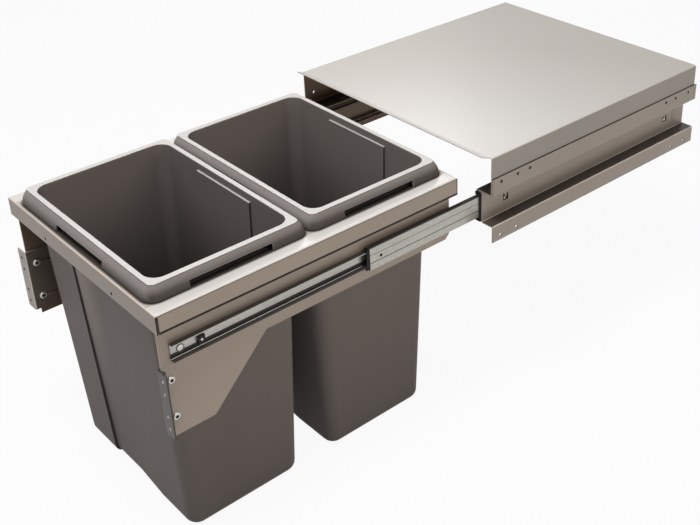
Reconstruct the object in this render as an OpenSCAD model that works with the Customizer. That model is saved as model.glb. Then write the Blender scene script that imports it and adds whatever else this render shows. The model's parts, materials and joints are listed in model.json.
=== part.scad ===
// Pull out bin frame for a kitchen base cabinet.
// A lid and two side rails screw to the cabinet. Full extension ball slides
// carry a steel carriage, which holds two bins under the lid.
// Millimetres. X runs across the cabinet, Y to its back and Z up.
// Drawn pulled out, with the bins' floors at Z = 0 and the box centred on X and Y.

/* [Cabinet fit] */
// Width over the screw flanges, the clear width of the cabinet
cabinet_gap = 412; // [400:1:440]
// Length of the side rails
rail_len = 452; // [440:1:500]
// Way that the carriage runs from closed to open
travel = 470; // [400:5:480]
// Carriage front to the lid's front fold when closed
carriage_setback = 24.5; // [10:0.5:30]
// Rail front behind the lid's front fold
rail_setback = 2; // [1:0.5:6]
// Radius of the wood screw holes in the rails
screw_hole_r = 2.3; // [1.8:0.1:3]

/* [Sheet metal] */
// Sheet of the rails and the carriage
sheet = 1.5; // [1:0.1:2]
// Sheet of the door brackets
bracket_sheet = 2; // [1.5:0.1:3]
// Inner radius of the bends
bend_r = 1; // [0.5:0.1:1.5]

/* [Lid] */
// Sheet of the lid
lid_sheet = 1; // [0.6:0.1:1.5]
// Lid length from its front fold to its back edge
lid_len = 450; // [420:1:480]
// Air between the bins' rims and the lid
lid_clear = 0.8; // [0.6:0.1:6]
// Lid top to the top of the rails
lid_reveal = 32.3; // [26:0.1:40]
// Reach of the turned up front edge
front_edge_reach = 14; // [8:0.5:18]
// Rise of the turned up front edge
front_edge_rise = 5; // [2:0.5:10]
// Front edge short of the lid's sides
front_edge_inset = 2; // [0:0.5:6]

/* [Rails] */
// Height of the upper screw flange above the shelf
upper_flange_h = 24.8; // [20:0.1:34]
// Height of the lower screw flange
lower_flange_h = 25.3; // [18:0.1:34]
// Flange face to web face
web_inset = 20.5; // [16:0.5:28]
// Height of the web under the folded shelf
web_h = 46.5; // [45.9:0.1:56]
// Air between the shelf's folded edge and the carriage side
shelf_clear = 3.2; // [1.5:0.1:5]
// Distance of neighbouring cabinet holes
hole_pitch = 32; // [28:1:40]
// First hole behind the rail's front end
first_hole = 15.5; // [10:0.5:20]
// Holes of one row, first pair to last pair
hole_row = 384; // [352:32:416]
// Extra hole beside each upper pair
extra_hole = 24; // [16:1:32]
// Upper holes below the flange's top edge
upper_hole_drop = 7.5; // [5:0.5:14]
// Lower holes above the flange's bottom edge
lower_hole_rise = 7.5; // [5:0.5:14]
// Front lanced hook behind the rail's front end
hook_y = 46; // [30:1:60]
// Distance of the two lanced hooks
hook_pitch = 358; // [300:1:380]
// Side of the lanced hook's window
hook_side = 10; // [8:0.5:12]
// Pressed grooves in the web, from the rail's back end
web_groove_y = 30; // [20:1:36]

/* [Slides] */
// Height of the cabinet member
slide_h = 45; // [44:0.1:45.2]
// Thickness of the whole slide
slide_t = 12.7; // [12.4:0.1:14]
// Sheet of the slide members
slide_sheet = 1.2; // [1:0.05:1.3]
// Inner radius of the rolled edges of the slide members
roll_r = 0.9; // [0.6:0.05:0.9]
// Height of the middle member
middle_h = 34; // [33.6:0.1:34.4]
// Length of the middle member
middle_len = 400; // [360:1:404]
// Height of the carriage member
inner_h = 23; // [22.6:0.1:23.4]
// Carriage member behind the carriage's front
inner_front = 17; // [12:1:22]
// Carriage member short of the carriage's back
inner_back = 9; // [7:1:14]
// Diameter of the balls
ball_d = 3.6; // [3.2:0.05:3.65]
// Distance of neighbouring balls
ball_pitch = 20; // [10:1:30]
// Length of the cages next to the rails
outer_cage_len = 180; // [120:1:186]
// Length of the cages next to the carriage
inner_cage_len = 120; // [80:1:124]
// Length of the black front guides
front_guide_len = 6; // [4:0.5:8]
// Length of the bumpers in the middle members
middle_bumper_len = 8; // [5:0.5:9]
// Length of the stops at the back
rear_stop_len = 7; // [4:0.5:7.5]
// Length of the catches on the carriage members
catch_len = 9; // [6:0.5:12]
// Catch behind the carriage member's front
catch_y = 35; // [30:1:60]
// Radius of the slide rivets' heads
rivet_head_r = 4; // [3.4:0.1:5]
// Radius of the slide rivets' shanks
rivet_r = 2.2; // [1.8:0.1:2.6]

/* [Carriage] */
// Rims to the carriage's front and back ends
carriage_margin = 5; // [4:0.5:7]
// Height of the carriage's folded lip
lip_h = 25.5; // [18:0.5:28]
// Lip beyond the carriage's side plates
lip_proud = 11.4; // [6:0.1:14]
// Open seam at the lip's corners
lip_seam = 0.8; // [0.4:0.1:1.5]
// Side plate below the carriage's top
plate_h = 95; // [88:0.5:102]
// Side plate short of the carriage's back
plate_back = 5; // [3:0.5:9]
// Width of the side plate's upper flange
plate_flange_w = 10; // [6:0.5:11]
// Chamfer of the side plate's back corner
plate_chamfer = 7; // [3:0.5:10]
// Gusset below the carriage's top
gusset_h = 178.5; // [170:0.5:190]
// Gusset's lower front edge behind the carriage's front
gusset_front = 8.5; // [7:0.5:9.5]
// Step in the gusset's front edge below the carriage's top
gusset_step_h = 80.5; // [78:0.5:83]
// Width of the gusset's bottom
gusset_foot = 56; // [45:1:70]
// Gusset's slope meets the side plate, from the carriage's front
gusset_slope_y = 146; // [120:1:180]
// Radius of the door holes in the front lip
lip_hole_r = 2.1; // [1.6:0.1:2.6]
// Distance of the door holes in the front lip
lip_hole_pitch = 166; // [120:1:220]
// Door holes below the carriage's top
lip_hole_drop = 19; // [12:0.5:20]

/* [Door brackets] */
// Height of a door bracket
bracket_h = 90; // [86:1:94]
// Bracket's lower edge above the gusset's lower edge
bracket_rise = 9; // [5:0.5:11]
// Length of the bracket's leg
bracket_leg = 60; // [50:1:66]
// Width of the bracket's flange
bracket_flange_w = 20; // [14:0.5:21]
// Depth adjustment of a door bracket
bracket_travel = 18; // [10:1:24]
// Clamp screws behind the carriage's front
clamp_y = 13.5; // [12.5:0.5:16]
// Distance of the two clamp screws
clamp_pitch = 52; // [46:1:56]
// Radius of the clamp screws' shanks
clamp_r = 2.5; // [2:0.1:2.6]
// Radius of the clamp screws' heads
clamp_head_r = 5; // [4:0.1:5.2]
// Radius of the door screw holes in the flanges
door_hole_r = 2.2; // [1.6:0.1:2.6]
// Distance of the outer door holes
door_hole_outer = 68; // [60:1:76]
// Distance of the inner door holes
door_hole_inner = 32; // [24:1:44]

/* [Bins] */
// Height of a bin over its rim
bin_h = 390; // [350:0.5:420]
// Height of the rim's skirt
rim_h = 19.3; // [16:0.1:24]
// Width of a bin's body under the rim
bin_w = 302; // [280:1:304]
// Depth of a bin's body under the rim
bin_d = 201; // [190:1:203]
// Width of a bin's body at the floor
floor_w = 275; // [250:1:290]
// Depth of a bin's body at the floor
floor_d = 169; // [150:1:180]
// Wall of a bin
bin_wall = 2.6; // [2:0.1:3]
// Body to the skirt's outer face, to the left and right
skirt_x = 11.5; // [10:0.1:12.5]
// Body to the skirt's outer face, to the front and back
skirt_y = 10; // [9:0.1:10.3]
// Skirt wider at its bottom than at its top
skirt_flare = 7.5; // [3:0.5:8]
// Radius of a bin's upright edges under the rim
bin_corner_r = 23; // [18:1:30]
// Radius of a bin's upright edges at the floor
floor_corner_r = 18; // [15:1:26]
// Radius of a bin's floor edge
floor_edge_r = 14; // [8:0.5:15]
// Radius of the skirt's corners at its bottom
skirt_corner_r = 16; // [13:0.5:24]
// Width of the recesses in the front and back walls
recess_w = 120; // [96:1:140]
// Width of the grip cut-outs
grip_w = 114; // [90:1:130]
// Height of the grip cut-outs
grip_h = 9.5; // [7:0.5:12]
// Depth of the wall's recess under the rim
recess_top = 6; // [3:0.5:8]
// Depth of the wall's recess at the floor
recess_floor = 3; // [1.5:0.5:5]
// Air between the rims of the two bins
bin_gap = 1; // [0.5:0.1:3]
// Air between a bin's body and the carriage's opening
opening_clear = 2.5; // [1.5:0.1:3]

/* [Hidden] */
// Sheet parts touch flat, round parts keep this air
air = 0.3;
// Overshoot of the cutting solids
cut = 1;
round_fn = 32;
ball_fn = 32;
nut_sides = 6;
corner_steps = 8;
edge_steps = 5;

// Places across the cabinet, on the right hand side
gap_x = cabinet_gap / 2;
web_out = gap_x - web_inset;
web_in = web_out - sheet;
plate_out = web_in - slide_t;
plate_in = plate_out - sheet;
lip_out = plate_out + lip_proud;
shelf_in = plate_out + shelf_clear;
lid_out = gap_x - sheet;

// Heights
carriage_top = bin_h - rim_h;
lid_under = bin_h + lid_clear;
lid_top = lid_under + lid_sheet;
flange_top = lid_top - lid_reveal;
shelf_top = flange_top - upper_flange_h;
web_top = shelf_top - 2 * sheet;
web_bottom = web_top - web_h;
lower_shelf_top = web_bottom + sheet;
rail_bottom = lower_shelf_top - lower_flange_h;
slide_z = web_top - air - slide_h / 2;
plate_bottom = carriage_top - plate_h;
gusset_bottom = carriage_top - gusset_h;
step_top = carriage_top - gusset_step_h;
bracket_bottom = gusset_bottom + bracket_rise;
bracket_mid = bracket_bottom + bracket_h / 2;
clamp_z = [bracket_mid - clamp_pitch / 2, bracket_mid + clamp_pitch / 2];

// Places along the cabinet, with the carriage pulled out
bin_pitch = bin_d + 2 * skirt_y + bin_gap;
carriage_len = 2 * bin_pitch - bin_gap + 2 * carriage_margin;
lid_y = (travel + carriage_setback - rail_setback - rail_len) / 2;
rail_y = lid_y + rail_setback;
car_y = lid_y - carriage_setback - travel;
car_end = car_y + carriage_len;
bin_y = [car_y + (carriage_len - bin_pitch) / 2, car_y + (carriage_len + bin_pitch) / 2];
inner_y = car_y + inner_front;
inner_end = car_end - inner_back;
inner_len = inner_end - inner_y;
guide_lead = 2;
guide_y = rail_y - guide_lead;
outer_y = guide_y + front_guide_len;
outer_end = rail_y + rail_len - sheet;
outer_len = outer_end - outer_y;
stop_room = 3.2;
stop_y = outer_end - stop_room - rear_stop_len;
middle_y = stop_y - air - middle_len - travel / 2;
cage_gap = 10;
outer_cage_y = outer_y + cage_gap;
inner_cage_y = middle_y + middle_bumper_len + cage_gap / 2;

// Outer radii of the bends
sheet_bend = bend_r + sheet;
lid_bend = bend_r + lid_sheet;
bracket_bend = bend_r + bracket_sheet;
roll = roll_r + slide_sheet;

// Side plate behind the carriage's front, clear of the door bracket's bend
plate_front = bracket_bend + air;

// Slide sections: u runs inward from the rail's web, v up from the slide's middle
cage_t = 0.6;
cage_air = 0.4;
ball_r = ball_d / 2;
outer_u = slide_sheet;
outer_cage_u = outer_u + cage_air;
middle_u = outer_cage_u + cage_t + cage_air;
inner_cage_u = middle_u + slide_sheet + cage_air;
inner_tip_u = inner_cage_u + cage_t + cage_air;
inner_web_u = slide_t - slide_sheet;
member_air = 1.2;
middle_tip_u = inner_web_u - member_air;
outer_tip_u = middle_tip_u;
outer_track = (slide_h / 2 - slide_sheet + middle_h / 2) / 2;
inner_track = (middle_h / 2 - slide_sheet + inner_h / 2) / 2;
outer_ball_u = (outer_cage_u + outer_tip_u - slide_sheet) / 2;
inner_ball_u = (inner_cage_u + middle_tip_u) / 2;
cage_tip = 0.4;
groove_d = 0.4;
groove_w = 1.2;
groove_v = [-5.5, 6];
middle_hole_r = 2.2;
middle_hole_y = 18;

// Lanced hooks of the rails
hook_w = 4;
hook_root = 2;
hook_air = 0.4;
hook_t = slide_sheet - 0.1;
hook_at = [rail_y + hook_y, rail_y + hook_y + hook_pitch];
web_groove_w = 2;
web_groove_pitch = 6;
web_groove_h = 26;

// Cabinet holes
row_first = rail_y + first_hole;
row_last = row_first + hole_row + hole_pitch;
pair_y = [row_first, row_first + hole_pitch, row_last - hole_pitch, row_last];
upper_y = concat(pair_y, [row_first + hole_pitch + extra_hole, row_last - hole_pitch - extra_hole]);
upper_hole_z = flange_top - upper_hole_drop;
lower_hole_z = rail_bottom + lower_hole_rise;

// Rivets and catches on the carriage members
rivet_h = 1.6;
rivet_tail_r = rivet_head_r - 0.6;
rivet_tail_h = 1;
rivet_first = 13;
rivet_last = 18;
rivet_step = 105;
rivet_y = [inner_y + rivet_first, inner_end - rivet_last - rivet_step, inner_end - rivet_last];
catch_h = 11;
catch_t = 4;
bumper_air = 0.6;
bumper_pad = middle_h / 2 - roll - inner_h / 2 - bumper_air;

// Clamp screws
clamp_at = car_y + clamp_y;
clamp_hole_r = clamp_r + air;
clamp_head_h = 3;
clamp_tail = 1;
nut_r = 4.5;
nut_t = 4;
socket_r = 1.6;
socket_h = 1.5;

// Bin section, from the floor up the outside, over the rim and down the inside
seat_z = carriage_top;
rim_edge = 1.5;
ledge_drop = 4.5;
ledge_rise = 0.6;
recess_side = 1.5;
flare_steps = 5;
grip_inset = 1.5;
min_r = 3;

// A flat section in X and Z drawn out along Y
module along_y(y, len) {
    translate([0, y + len, 0]) rotate([90, 0, 0]) linear_extrude(height = len) children();
}

// A flat section in Y and Z drawn out along X
module along_x(x, len) {
    translate([x, 0, 0]) rotate([90, 0, 90]) linear_extrude(height = len) children();
}

// A rectangle between two corners
module rect(x0, y0, x1, y1) {
    translate([x0, y0]) square([x1 - x0, y1 - y0]);
}

// A box between two corners
module box(low, high) {
    translate(low) cube(high - low);
}

// A round bar along X
module bar_x(x0, x1, y, z, r) {
    translate([x0, y, z]) rotate([0, 90, 0]) cylinder(r = r, h = x1 - x0, $fn = round_fn);
}

// A round bar along Y
module bar_y(y0, y1, x, z, r) {
    translate([x, y1, z]) rotate([90, 0, 0]) cylinder(r = r, h = y1 - y0, $fn = round_fn);
}

// A rounded rectangle about the middle
module round_rect(w, d, r) {
    square([w - 2 * r, d], center = true);
    square([w, d - 2 * r], center = true);
    for (x = [-1, 1], y = [-1, 1])
        translate([x * (w / 2 - r), y * (d / 2 - r)]) circle(r = r, $fn = round_fn);
}

// A quarter of a bent sheet's edge about a point, towards one quadrant
module bend(x, y, way_x, way_y, outer, thick) {
    translate([x, y]) intersection() {
        difference() {
            circle(r = outer, $fn = round_fn);
            circle(r = outer - thick, $fn = round_fn);
        }
        translate([way_x > 0 ? 0 : -outer - cut, way_y > 0 ? 0 : -outer - cut])
            square(outer + cut);
    }
}

// A rectangle on a base line whose upper corners are rounded
module round_top(x0, y0, x1, y1, r) {
    rect(x0, y0, x1, y1 - r);
    rect(x0 + r, y0, x1 - r, y1);
    for (x = [x0 + r, x1 - r])
        translate([x, y1 - r]) circle(r = r, $fn = round_fn);
}

// Puts a slide section in its place beside the right rail
module slide_section() {
    translate([web_in, slide_z]) mirror([1, 0]) children();
}

// The left hand twin of a right hand piece
module left_hand() {
    mirror([1, 0, 0]) children();
}

module lid() {
    color([0.83, 0.81, 0.79]) difference() {
        union() {
            along_y(lid_y, lid_len) {
                rect(lid_bend - lid_out, lid_under, lid_out - lid_bend, lid_top);
                for (side = [-1, 1]) {
                    bend(side * (lid_out - lid_bend), lid_top - lid_bend, side, 1, lid_bend, lid_sheet);
                    translate([side * (lid_out - lid_sheet / 2), 0])
                        rect(-lid_sheet / 2, shelf_top + bend_r + air, lid_sheet / 2, lid_top - lid_bend);
                }
            }
            along_x(lid_bend + front_edge_inset - lid_out, 2 * (lid_out - lid_bend - front_edge_inset))
                polygon([
                    [lid_y + cut, lid_under],
                    [lid_y, lid_under],
                    [lid_y - front_edge_reach, lid_under + front_edge_rise],
                    [lid_y - front_edge_reach, lid_top + front_edge_rise],
                    [lid_y, lid_top],
                    [lid_y + cut, lid_top]
                ]);
        }
        for (y = upper_y)
            bar_x(-gap_x, gap_x, y, upper_hole_z, screw_hole_r);
    }
}

// Flange, folded shelf, web, lower shelf and lower flange of one bent sheet
module rail() {
    color([0.56, 0.52, 0.48]) {
        difference() {
            along_y(rail_y, rail_len) {
                rect(lid_out, shelf_top + bend_r, gap_x, flange_top);
                bend(gap_x - sheet_bend, shelf_top + bend_r, 1, -1, sheet_bend, sheet);
                rect(shelf_in + sheet, shelf_top - sheet, gap_x - sheet_bend, shelf_top);
                translate([shelf_in + sheet, shelf_top - sheet]) circle(r = sheet, $fn = round_fn);
                rect(shelf_in + sheet, web_top, web_out - sheet_bend, shelf_top - sheet);
                bend(web_out - sheet_bend, web_top - bend_r, 1, 1, sheet_bend, sheet);
                rect(web_in, lower_shelf_top + bend_r, web_out, web_top - bend_r);
                bend(web_in + sheet_bend, lower_shelf_top + bend_r, -1, -1, sheet_bend, sheet);
                rect(web_in + sheet_bend, web_bottom, gap_x - sheet_bend, lower_shelf_top);
                bend(gap_x - sheet_bend, web_bottom - bend_r, 1, 1, sheet_bend, sheet);
                rect(lid_out, rail_bottom, gap_x, web_bottom - bend_r);
            }
            for (y = upper_y)
                bar_x(lid_out - cut, gap_x + cut, y, upper_hole_z, screw_hole_r);
            for (y = pair_y)
                bar_x(lid_out - cut, gap_x + cut, y, lower_hole_z, screw_hole_r);
            for (y = hook_at)
                box([web_in - cut, y - hook_side / 2, slide_z - hook_side / 2],
                    [web_out + cut, y + hook_side / 2, slide_z + hook_side / 2]);
            for (n = [0, 1])
                box([web_out - groove_d, rail_y + rail_len - web_groove_y + n * web_groove_pitch,
                        slide_z - web_groove_h / 2],
                    [web_out + cut, rail_y + rail_len - web_groove_y + n * web_groove_pitch + web_groove_w,
                        slide_z + web_groove_h / 2]);
        }
        for (y = hook_at) {
            box([web_in - hook_t, y - hook_w / 2, slide_z],
                [web_out, y + hook_w / 2, slide_z + hook_root]);
            box([web_in, y - hook_w / 2, slide_z],
                [web_out, y + hook_w / 2, slide_z + hook_side / 2]);
            box([web_in - hook_t, y - hook_w / 2, slide_z - hook_side / 2 + hook_air],
                [web_in, y + hook_w / 2, slide_z + hook_root]);
        }
    }
}

// A rolled channel between two distances from the rail, with its web on the rail's side
module channel(u0, u1, h) {
    rect(u0, roll - h / 2, u0 + slide_sheet, h / 2 - roll);
    for (v = [-1, 1]) {
        bend(u0 + roll, v * (h / 2 - roll), -1, v, roll, slide_sheet);
        translate([0, v * (h / 2 - slide_sheet / 2)])
            rect(u0 + roll, -slide_sheet / 2, u1 - roll, slide_sheet / 2);
        bend(u1 - roll, v * (h / 2 - roll), 1, v, roll, slide_sheet);
    }
}

// Cabinet member: a channel that opens towards the carriage
module outer_slide() {
    color([0.71, 0.71, 0.68]) difference() {
        along_y(outer_y, outer_len) slide_section() channel(0, outer_tip_u, slide_h);
        for (y = hook_at)
            box([web_in - slide_sheet - cut, y - hook_side / 2, slide_z - hook_side / 2],
                [web_in + cut, y + hook_side / 2, slide_z + hook_side / 2]);
    }
}

// Black guide in the cabinet member's mouth
module front_guide() {
    color([0.06, 0.06, 0.06]) along_y(guide_y, front_guide_len) slide_section() {
        rect(air, -slide_h / 2, middle_u - bumper_air, slide_h / 2);
        for (v = [-1, 1])
            translate([air, v > 0 ? middle_h / 2 + bumper_air : -slide_h / 2])
                square([outer_tip_u - air, slide_h / 2 - middle_h / 2 - bumper_air]);
    }
}

// Rubber stop behind the middle member
module rear_stop() {
    color([0.08, 0.08, 0.08]) along_y(stop_y, rear_stop_len) slide_section()
        rect(slide_sheet, -middle_h / 2, middle_tip_u, middle_h / 2);
}

// One cage: a channel of thin strip with a hole for each ball
module cage(y, len, u0, u1, track, ball_u) {
    color([0.62, 0.62, 0.6]) difference() {
        along_y(y, len) slide_section() {
            rect(u0, -track - cage_t / 2, u0 + cage_t, track + cage_t / 2);
            for (v = [-1, 1])
                rect(u0, v * track - cage_t / 2, u1, v * track + cage_t / 2);
        }
        for (b = ball_rows(y, len), v = [-1, 1])
            translate([web_in - ball_u, b, slide_z + v * track - cage_t])
                cylinder(r = ball_r + air, h = 2 * cage_t, $fn = round_fn);
    }
}

// The balls of one cage
module balls(y, len, track, ball_u) {
    color([0.8, 0.8, 0.8])
        for (b = ball_rows(y, len), v = [-1, 1])
            translate([web_in - ball_u, b, slide_z + v * track]) sphere(r = ball_r, $fn = ball_fn);
}

// Places of the balls along one cage
function ball_rows(y, len) =
    let (count = floor((len - 2 * cage_gap) / ball_pitch))
    [for (n = [0 : count]) y + len / 2 + (n - count / 2) * ball_pitch];

module outer_cage() {
    cage(outer_cage_y, outer_cage_len, outer_cage_u, outer_tip_u - cage_tip, outer_track, outer_ball_u);
}

module outer_balls() {
    balls(outer_cage_y, outer_cage_len, outer_track, outer_ball_u);
}

module inner_cage() {
    cage(inner_cage_y, inner_cage_len, inner_cage_u, middle_tip_u, inner_track, inner_ball_u);
}

module inner_balls() {
    balls(inner_cage_y, inner_cage_len, inner_track, inner_ball_u);
}

// Middle member: a grooved channel between the two cages
module middle_slide() {
    color([0.71, 0.71, 0.68]) difference() {
        along_y(middle_y, middle_len) slide_section() difference() {
            channel(middle_u, middle_tip_u, middle_h);
            for (v = groove_v)
                rect(middle_u - cut, v - groove_w / 2, middle_u + groove_d, v + groove_w / 2);
        }
        bar_x(web_in - middle_u - slide_sheet - cut, web_in, middle_y + middle_hole_y, slide_z,
            middle_hole_r);
    }
}

// Black bumper in the middle member's mouth
module middle_bumper() {
    color([0.06, 0.06, 0.06]) along_y(middle_y, middle_bumper_len) slide_section() {
        rect(middle_u + slide_sheet, roll - middle_h / 2, inner_tip_u - cage_air, middle_h / 2 - roll);
        for (v = [-1, 1])
            translate([0, v * (middle_h / 2 - roll + inner_h / 2 + bumper_air) / 2])
                rect(middle_u + slide_sheet, -bumper_pad / 2, middle_tip_u - roll, bumper_pad / 2);
    }
}

// Carriage member: a channel that opens towards the rail
module inner_slide() {
    color([0.71, 0.71, 0.68]) difference() {
        along_y(inner_y, inner_len) slide_section() {
            rect(inner_web_u, roll - inner_h / 2, slide_t, inner_h / 2 - roll);
            for (v = [-1, 1]) {
                bend(slide_t - roll, v * (inner_h / 2 - roll), 1, v, roll, slide_sheet);
                translate([0, v * (inner_h / 2 - slide_sheet / 2)])
                    rect(inner_tip_u, -slide_sheet / 2, slide_t - roll, slide_sheet / 2);
            }
        }
        for (y = rivet_y)
            bar_x(plate_out - cut, plate_out + slide_sheet + cut, y, slide_z, rivet_r + air);
    }
}

// Rivets that hold a carriage member to its side plate
module slide_rivets() {
    color([0.76, 0.76, 0.74]) for (y = rivet_y) {
        bar_x(plate_in, plate_out + slide_sheet, y, slide_z, rivet_r);
        bar_x(plate_out + slide_sheet, plate_out + slide_sheet + rivet_h, y, slide_z, rivet_head_r);
        bar_x(plate_in - rivet_tail_h, plate_in, y, slide_z, rivet_tail_r);
    }
}

// Black catch inside a carriage member
module catch() {
    color([0.06, 0.06, 0.06])
        box([plate_out + slide_sheet, inner_y + catch_y, slide_z - catch_h / 2],
            [plate_out + slide_sheet + catch_t, inner_y + catch_y + catch_len, slide_z + catch_h / 2]);
}

// A block whose upper edges are rounded, less an inset on every side
module carriage_block(inset, z0, r) {
    intersection() {
        along_y(car_y + inset, carriage_len - 2 * inset)
            round_top(inset - lip_out, z0, lip_out - inset, carriage_top - inset, r);
        along_x(inset - lip_out, 2 * (lip_out - inset))
            round_top(car_y + inset, z0, car_end - inset, carriage_top - inset, r);
    }
}

// Top plate with two openings and a folded lip all round
module carriage_frame() {
    color([0.68, 0.63, 0.6]) difference() {
        carriage_block(0, carriage_top - lip_h, sheet_bend);
        carriage_block(sheet, carriage_top - lip_h - cut, bend_r);
        for (y = bin_y)
            translate([0, y, carriage_top - sheet - cut]) linear_extrude(height = sheet + 2 * cut)
                round_rect(bin_w + 2 * opening_clear, bin_d + 2 * opening_clear,
                    bin_corner_r + opening_clear);
        for (side = [-1, 1])
            bar_y(car_y - cut, car_y + sheet + cut, side * lip_hole_pitch / 2,
                carriage_top - lip_hole_drop, lip_hole_r);
        for (side = [-1, 1], y = [car_y + sheet, car_end - sheet - lip_seam])
            translate([side * (lip_out - sheet / 2) - sheet / 2 - cut, y, carriage_top - lip_h - cut])
                cube([sheet + 2 * cut, lip_seam, lip_h - sheet + cut]);
    }
}

// Side plate with its front gusset and the upper flange under the top plate
module side_plate() {
    color([0.57, 0.51, 0.45]) difference() {
        union() {
            along_x(plate_in, sheet) polygon([
                [car_y + plate_front, carriage_top - sheet - sheet_bend],
                [car_y + plate_front, step_top],
                [car_y + gusset_front, step_top - gusset_front + plate_front],
                [car_y + gusset_front, gusset_bottom],
                [car_y + gusset_front + gusset_foot, gusset_bottom],
                [car_y + gusset_slope_y, plate_bottom],
                [car_end - plate_back - plate_chamfer, plate_bottom],
                [car_end - plate_back, plate_bottom + plate_chamfer],
                [car_end - plate_back, carriage_top - sheet - sheet_bend]
            ]);
            along_y(car_y + plate_front, carriage_len - plate_front - plate_back) {
                bend(plate_out - sheet_bend, carriage_top - sheet - sheet_bend, 1, 1, sheet_bend, sheet);
                rect(plate_in - plate_flange_w, carriage_top - 2 * sheet,
                    plate_out - sheet_bend, carriage_top - sheet);
            }
        }
        for (z = clamp_z)
            bar_x(plate_in - cut, plate_out + cut, clamp_at, z, clamp_hole_r);
        for (y = rivet_y)
            bar_x(plate_in - cut, plate_out + cut, y, slide_z, rivet_r + air);
    }
}

// Door bracket: a slotted leg inside the gusset and a flange in front of it
module door_bracket() {
    leg_in = plate_in - bracket_sheet;
    color([0.5, 0.46, 0.42]) difference() {
        translate([0, 0, bracket_bottom]) linear_extrude(height = bracket_h) {
            rect(leg_in, car_y + bracket_bend, plate_in, car_y + bracket_leg);
            bend(leg_in + bracket_bend, car_y + bracket_bend, -1, -1, bracket_bend, bracket_sheet);
            rect(leg_in + bracket_bend, car_y, leg_in + bracket_flange_w, car_y + bracket_sheet);
        }
        for (z = clamp_z) {
            bar_x(leg_in - cut, plate_in + cut, clamp_at, z, clamp_hole_r);
            bar_x(leg_in - cut, plate_in + cut, clamp_at + bracket_travel, z, clamp_hole_r);
            box([leg_in - cut, clamp_at, z - clamp_hole_r],
                [plate_in + cut, clamp_at + bracket_travel, z + clamp_hole_r]);
        }
        for (d = [door_hole_outer, door_hole_inner], side = [-1, 1])
            bar_y(car_y - cut, car_y + bracket_sheet + cut,
                (plate_in + leg_in + bracket_flange_w) / 2, bracket_mid + side * d / 2, door_hole_r);
    }
}

// Clamp screws: heads on one side, threads through to the nuts
module clamp_screws(x_head, x_end) {
    way = x_end > x_head ? 1 : -1;
    color([0.78, 0.78, 0.76]) for (z = clamp_z)
        translate([x_head, clamp_at, z]) rotate([0, way * 90, 0]) {
            cylinder(r = clamp_r, h = abs(x_end - x_head), $fn = round_fn);
            translate([0, 0, -clamp_head_h]) difference() {
                cylinder(r = clamp_head_r, h = clamp_head_h, $fn = round_fn);
                translate([0, 0, -cut]) cylinder(r = socket_r, h = socket_h + cut, $fn = nut_sides);
            }
        }
}

// Nuts on the clamp screws
module clamp_nuts(x0) {
    color([0.72, 0.72, 0.7]) for (z = clamp_z)
        translate([x0, clamp_at, z]) rotate([0, 90, 0]) difference() {
            cylinder(r = nut_r, h = nut_t, $fn = nut_sides);
            translate([0, 0, -cut]) cylinder(r = clamp_hole_r, h = nut_t + 2 * cut, $fn = round_fn);
        }
}

// One ring of a bin: half width, half depth, corner radius, height, recess depth
function ring(s) = let (
        hx = s[0], hy = s[1], r = max(min_r, s[2]), z = s[3], d = s[4],
        g0 = recess_w / 2, g1 = recess_w / 2 + recess_side,
        arc = function (q) [for (n = [0 : corner_steps])
            let (a = 90 * q + 90 * n / corner_steps)
            [(q == 0 || q == 3 ? 1 : -1) * (hx - r) + r * cos(a),
                (q < 2 ? 1 : -1) * (hy - r) + r * sin(a), z]]
    ) concat(
        arc(0), [[g1, hy, z], [g0, hy - d, z], [-g0, hy - d, z], [-g1, hy, z]],
        arc(1), arc(2), [[-g1, -hy, z], [-g0, -hy + d, z], [g0, -hy + d, z], [g1, -hy, z]], arc(3)
    );

// Half sizes of a bin's outside at a height, less an inset
function body(z, inset) = let (t = (z - floor_edge_r) / (bin_h - floor_edge_r)) [
    (floor_w + (bin_w - floor_w) * t) / 2 - inset,
    (floor_d + (bin_d - floor_d) * t) / 2 - inset,
    floor_corner_r + (bin_corner_r - floor_corner_r) * t - inset,
    z,
    recess_floor + (recess_top - recess_floor) * t
];

// Half sizes of the skirt's outside, less an inset
function skirt(z, inset, recess) = [
    bin_w / 2 + skirt_x - inset, bin_d / 2 + skirt_y - inset, skirt_corner_r - inset, z, recess
];

// Floor edge of the outside or, with an inset, of the inside
function floor_edge(inset) = [for (n = [0 : edge_steps])
    let (a = 90 * n / edge_steps, b = body(floor_edge_r, inset), e = floor_edge_r - inset)
    [b[0] - e * (1 - sin(a)), b[1] - e * (1 - sin(a)), b[2] - e * (1 - sin(a)),
        floor_edge_r - e * cos(a), b[4]]];

function bin_rings() = concat(
    floor_edge(0),
    [
        body(bin_h - bin_wall, 0),
        skirt(bin_h - bin_wall, bin_wall + skirt_flare, 0),
        skirt(seat_z, bin_wall, 0)
    ],
    [for (n = [0 : flare_steps]) let (t = n / flare_steps)
        skirt(seat_z + (rim_h - rim_edge) * t, skirt_flare * t * t, 0)],
    [
        skirt(bin_h, skirt_flare + rim_edge, 0),
        rim_in(bin_h, -rim_edge),
        rim_in(bin_h - rim_edge, 0),
        rim_in(bin_h - ledge_drop + ledge_rise, 0),
        body(bin_h - ledge_drop, bin_wall)
    ],
    [for (n = [edge_steps : -1 : 0]) floor_edge(bin_wall)[n]]
);

// Inside of the rim above the recess
function rim_in(z, inset) = let (b = body(z, bin_wall + inset)) [b[0], b[1], b[2], z, 0];

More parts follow.
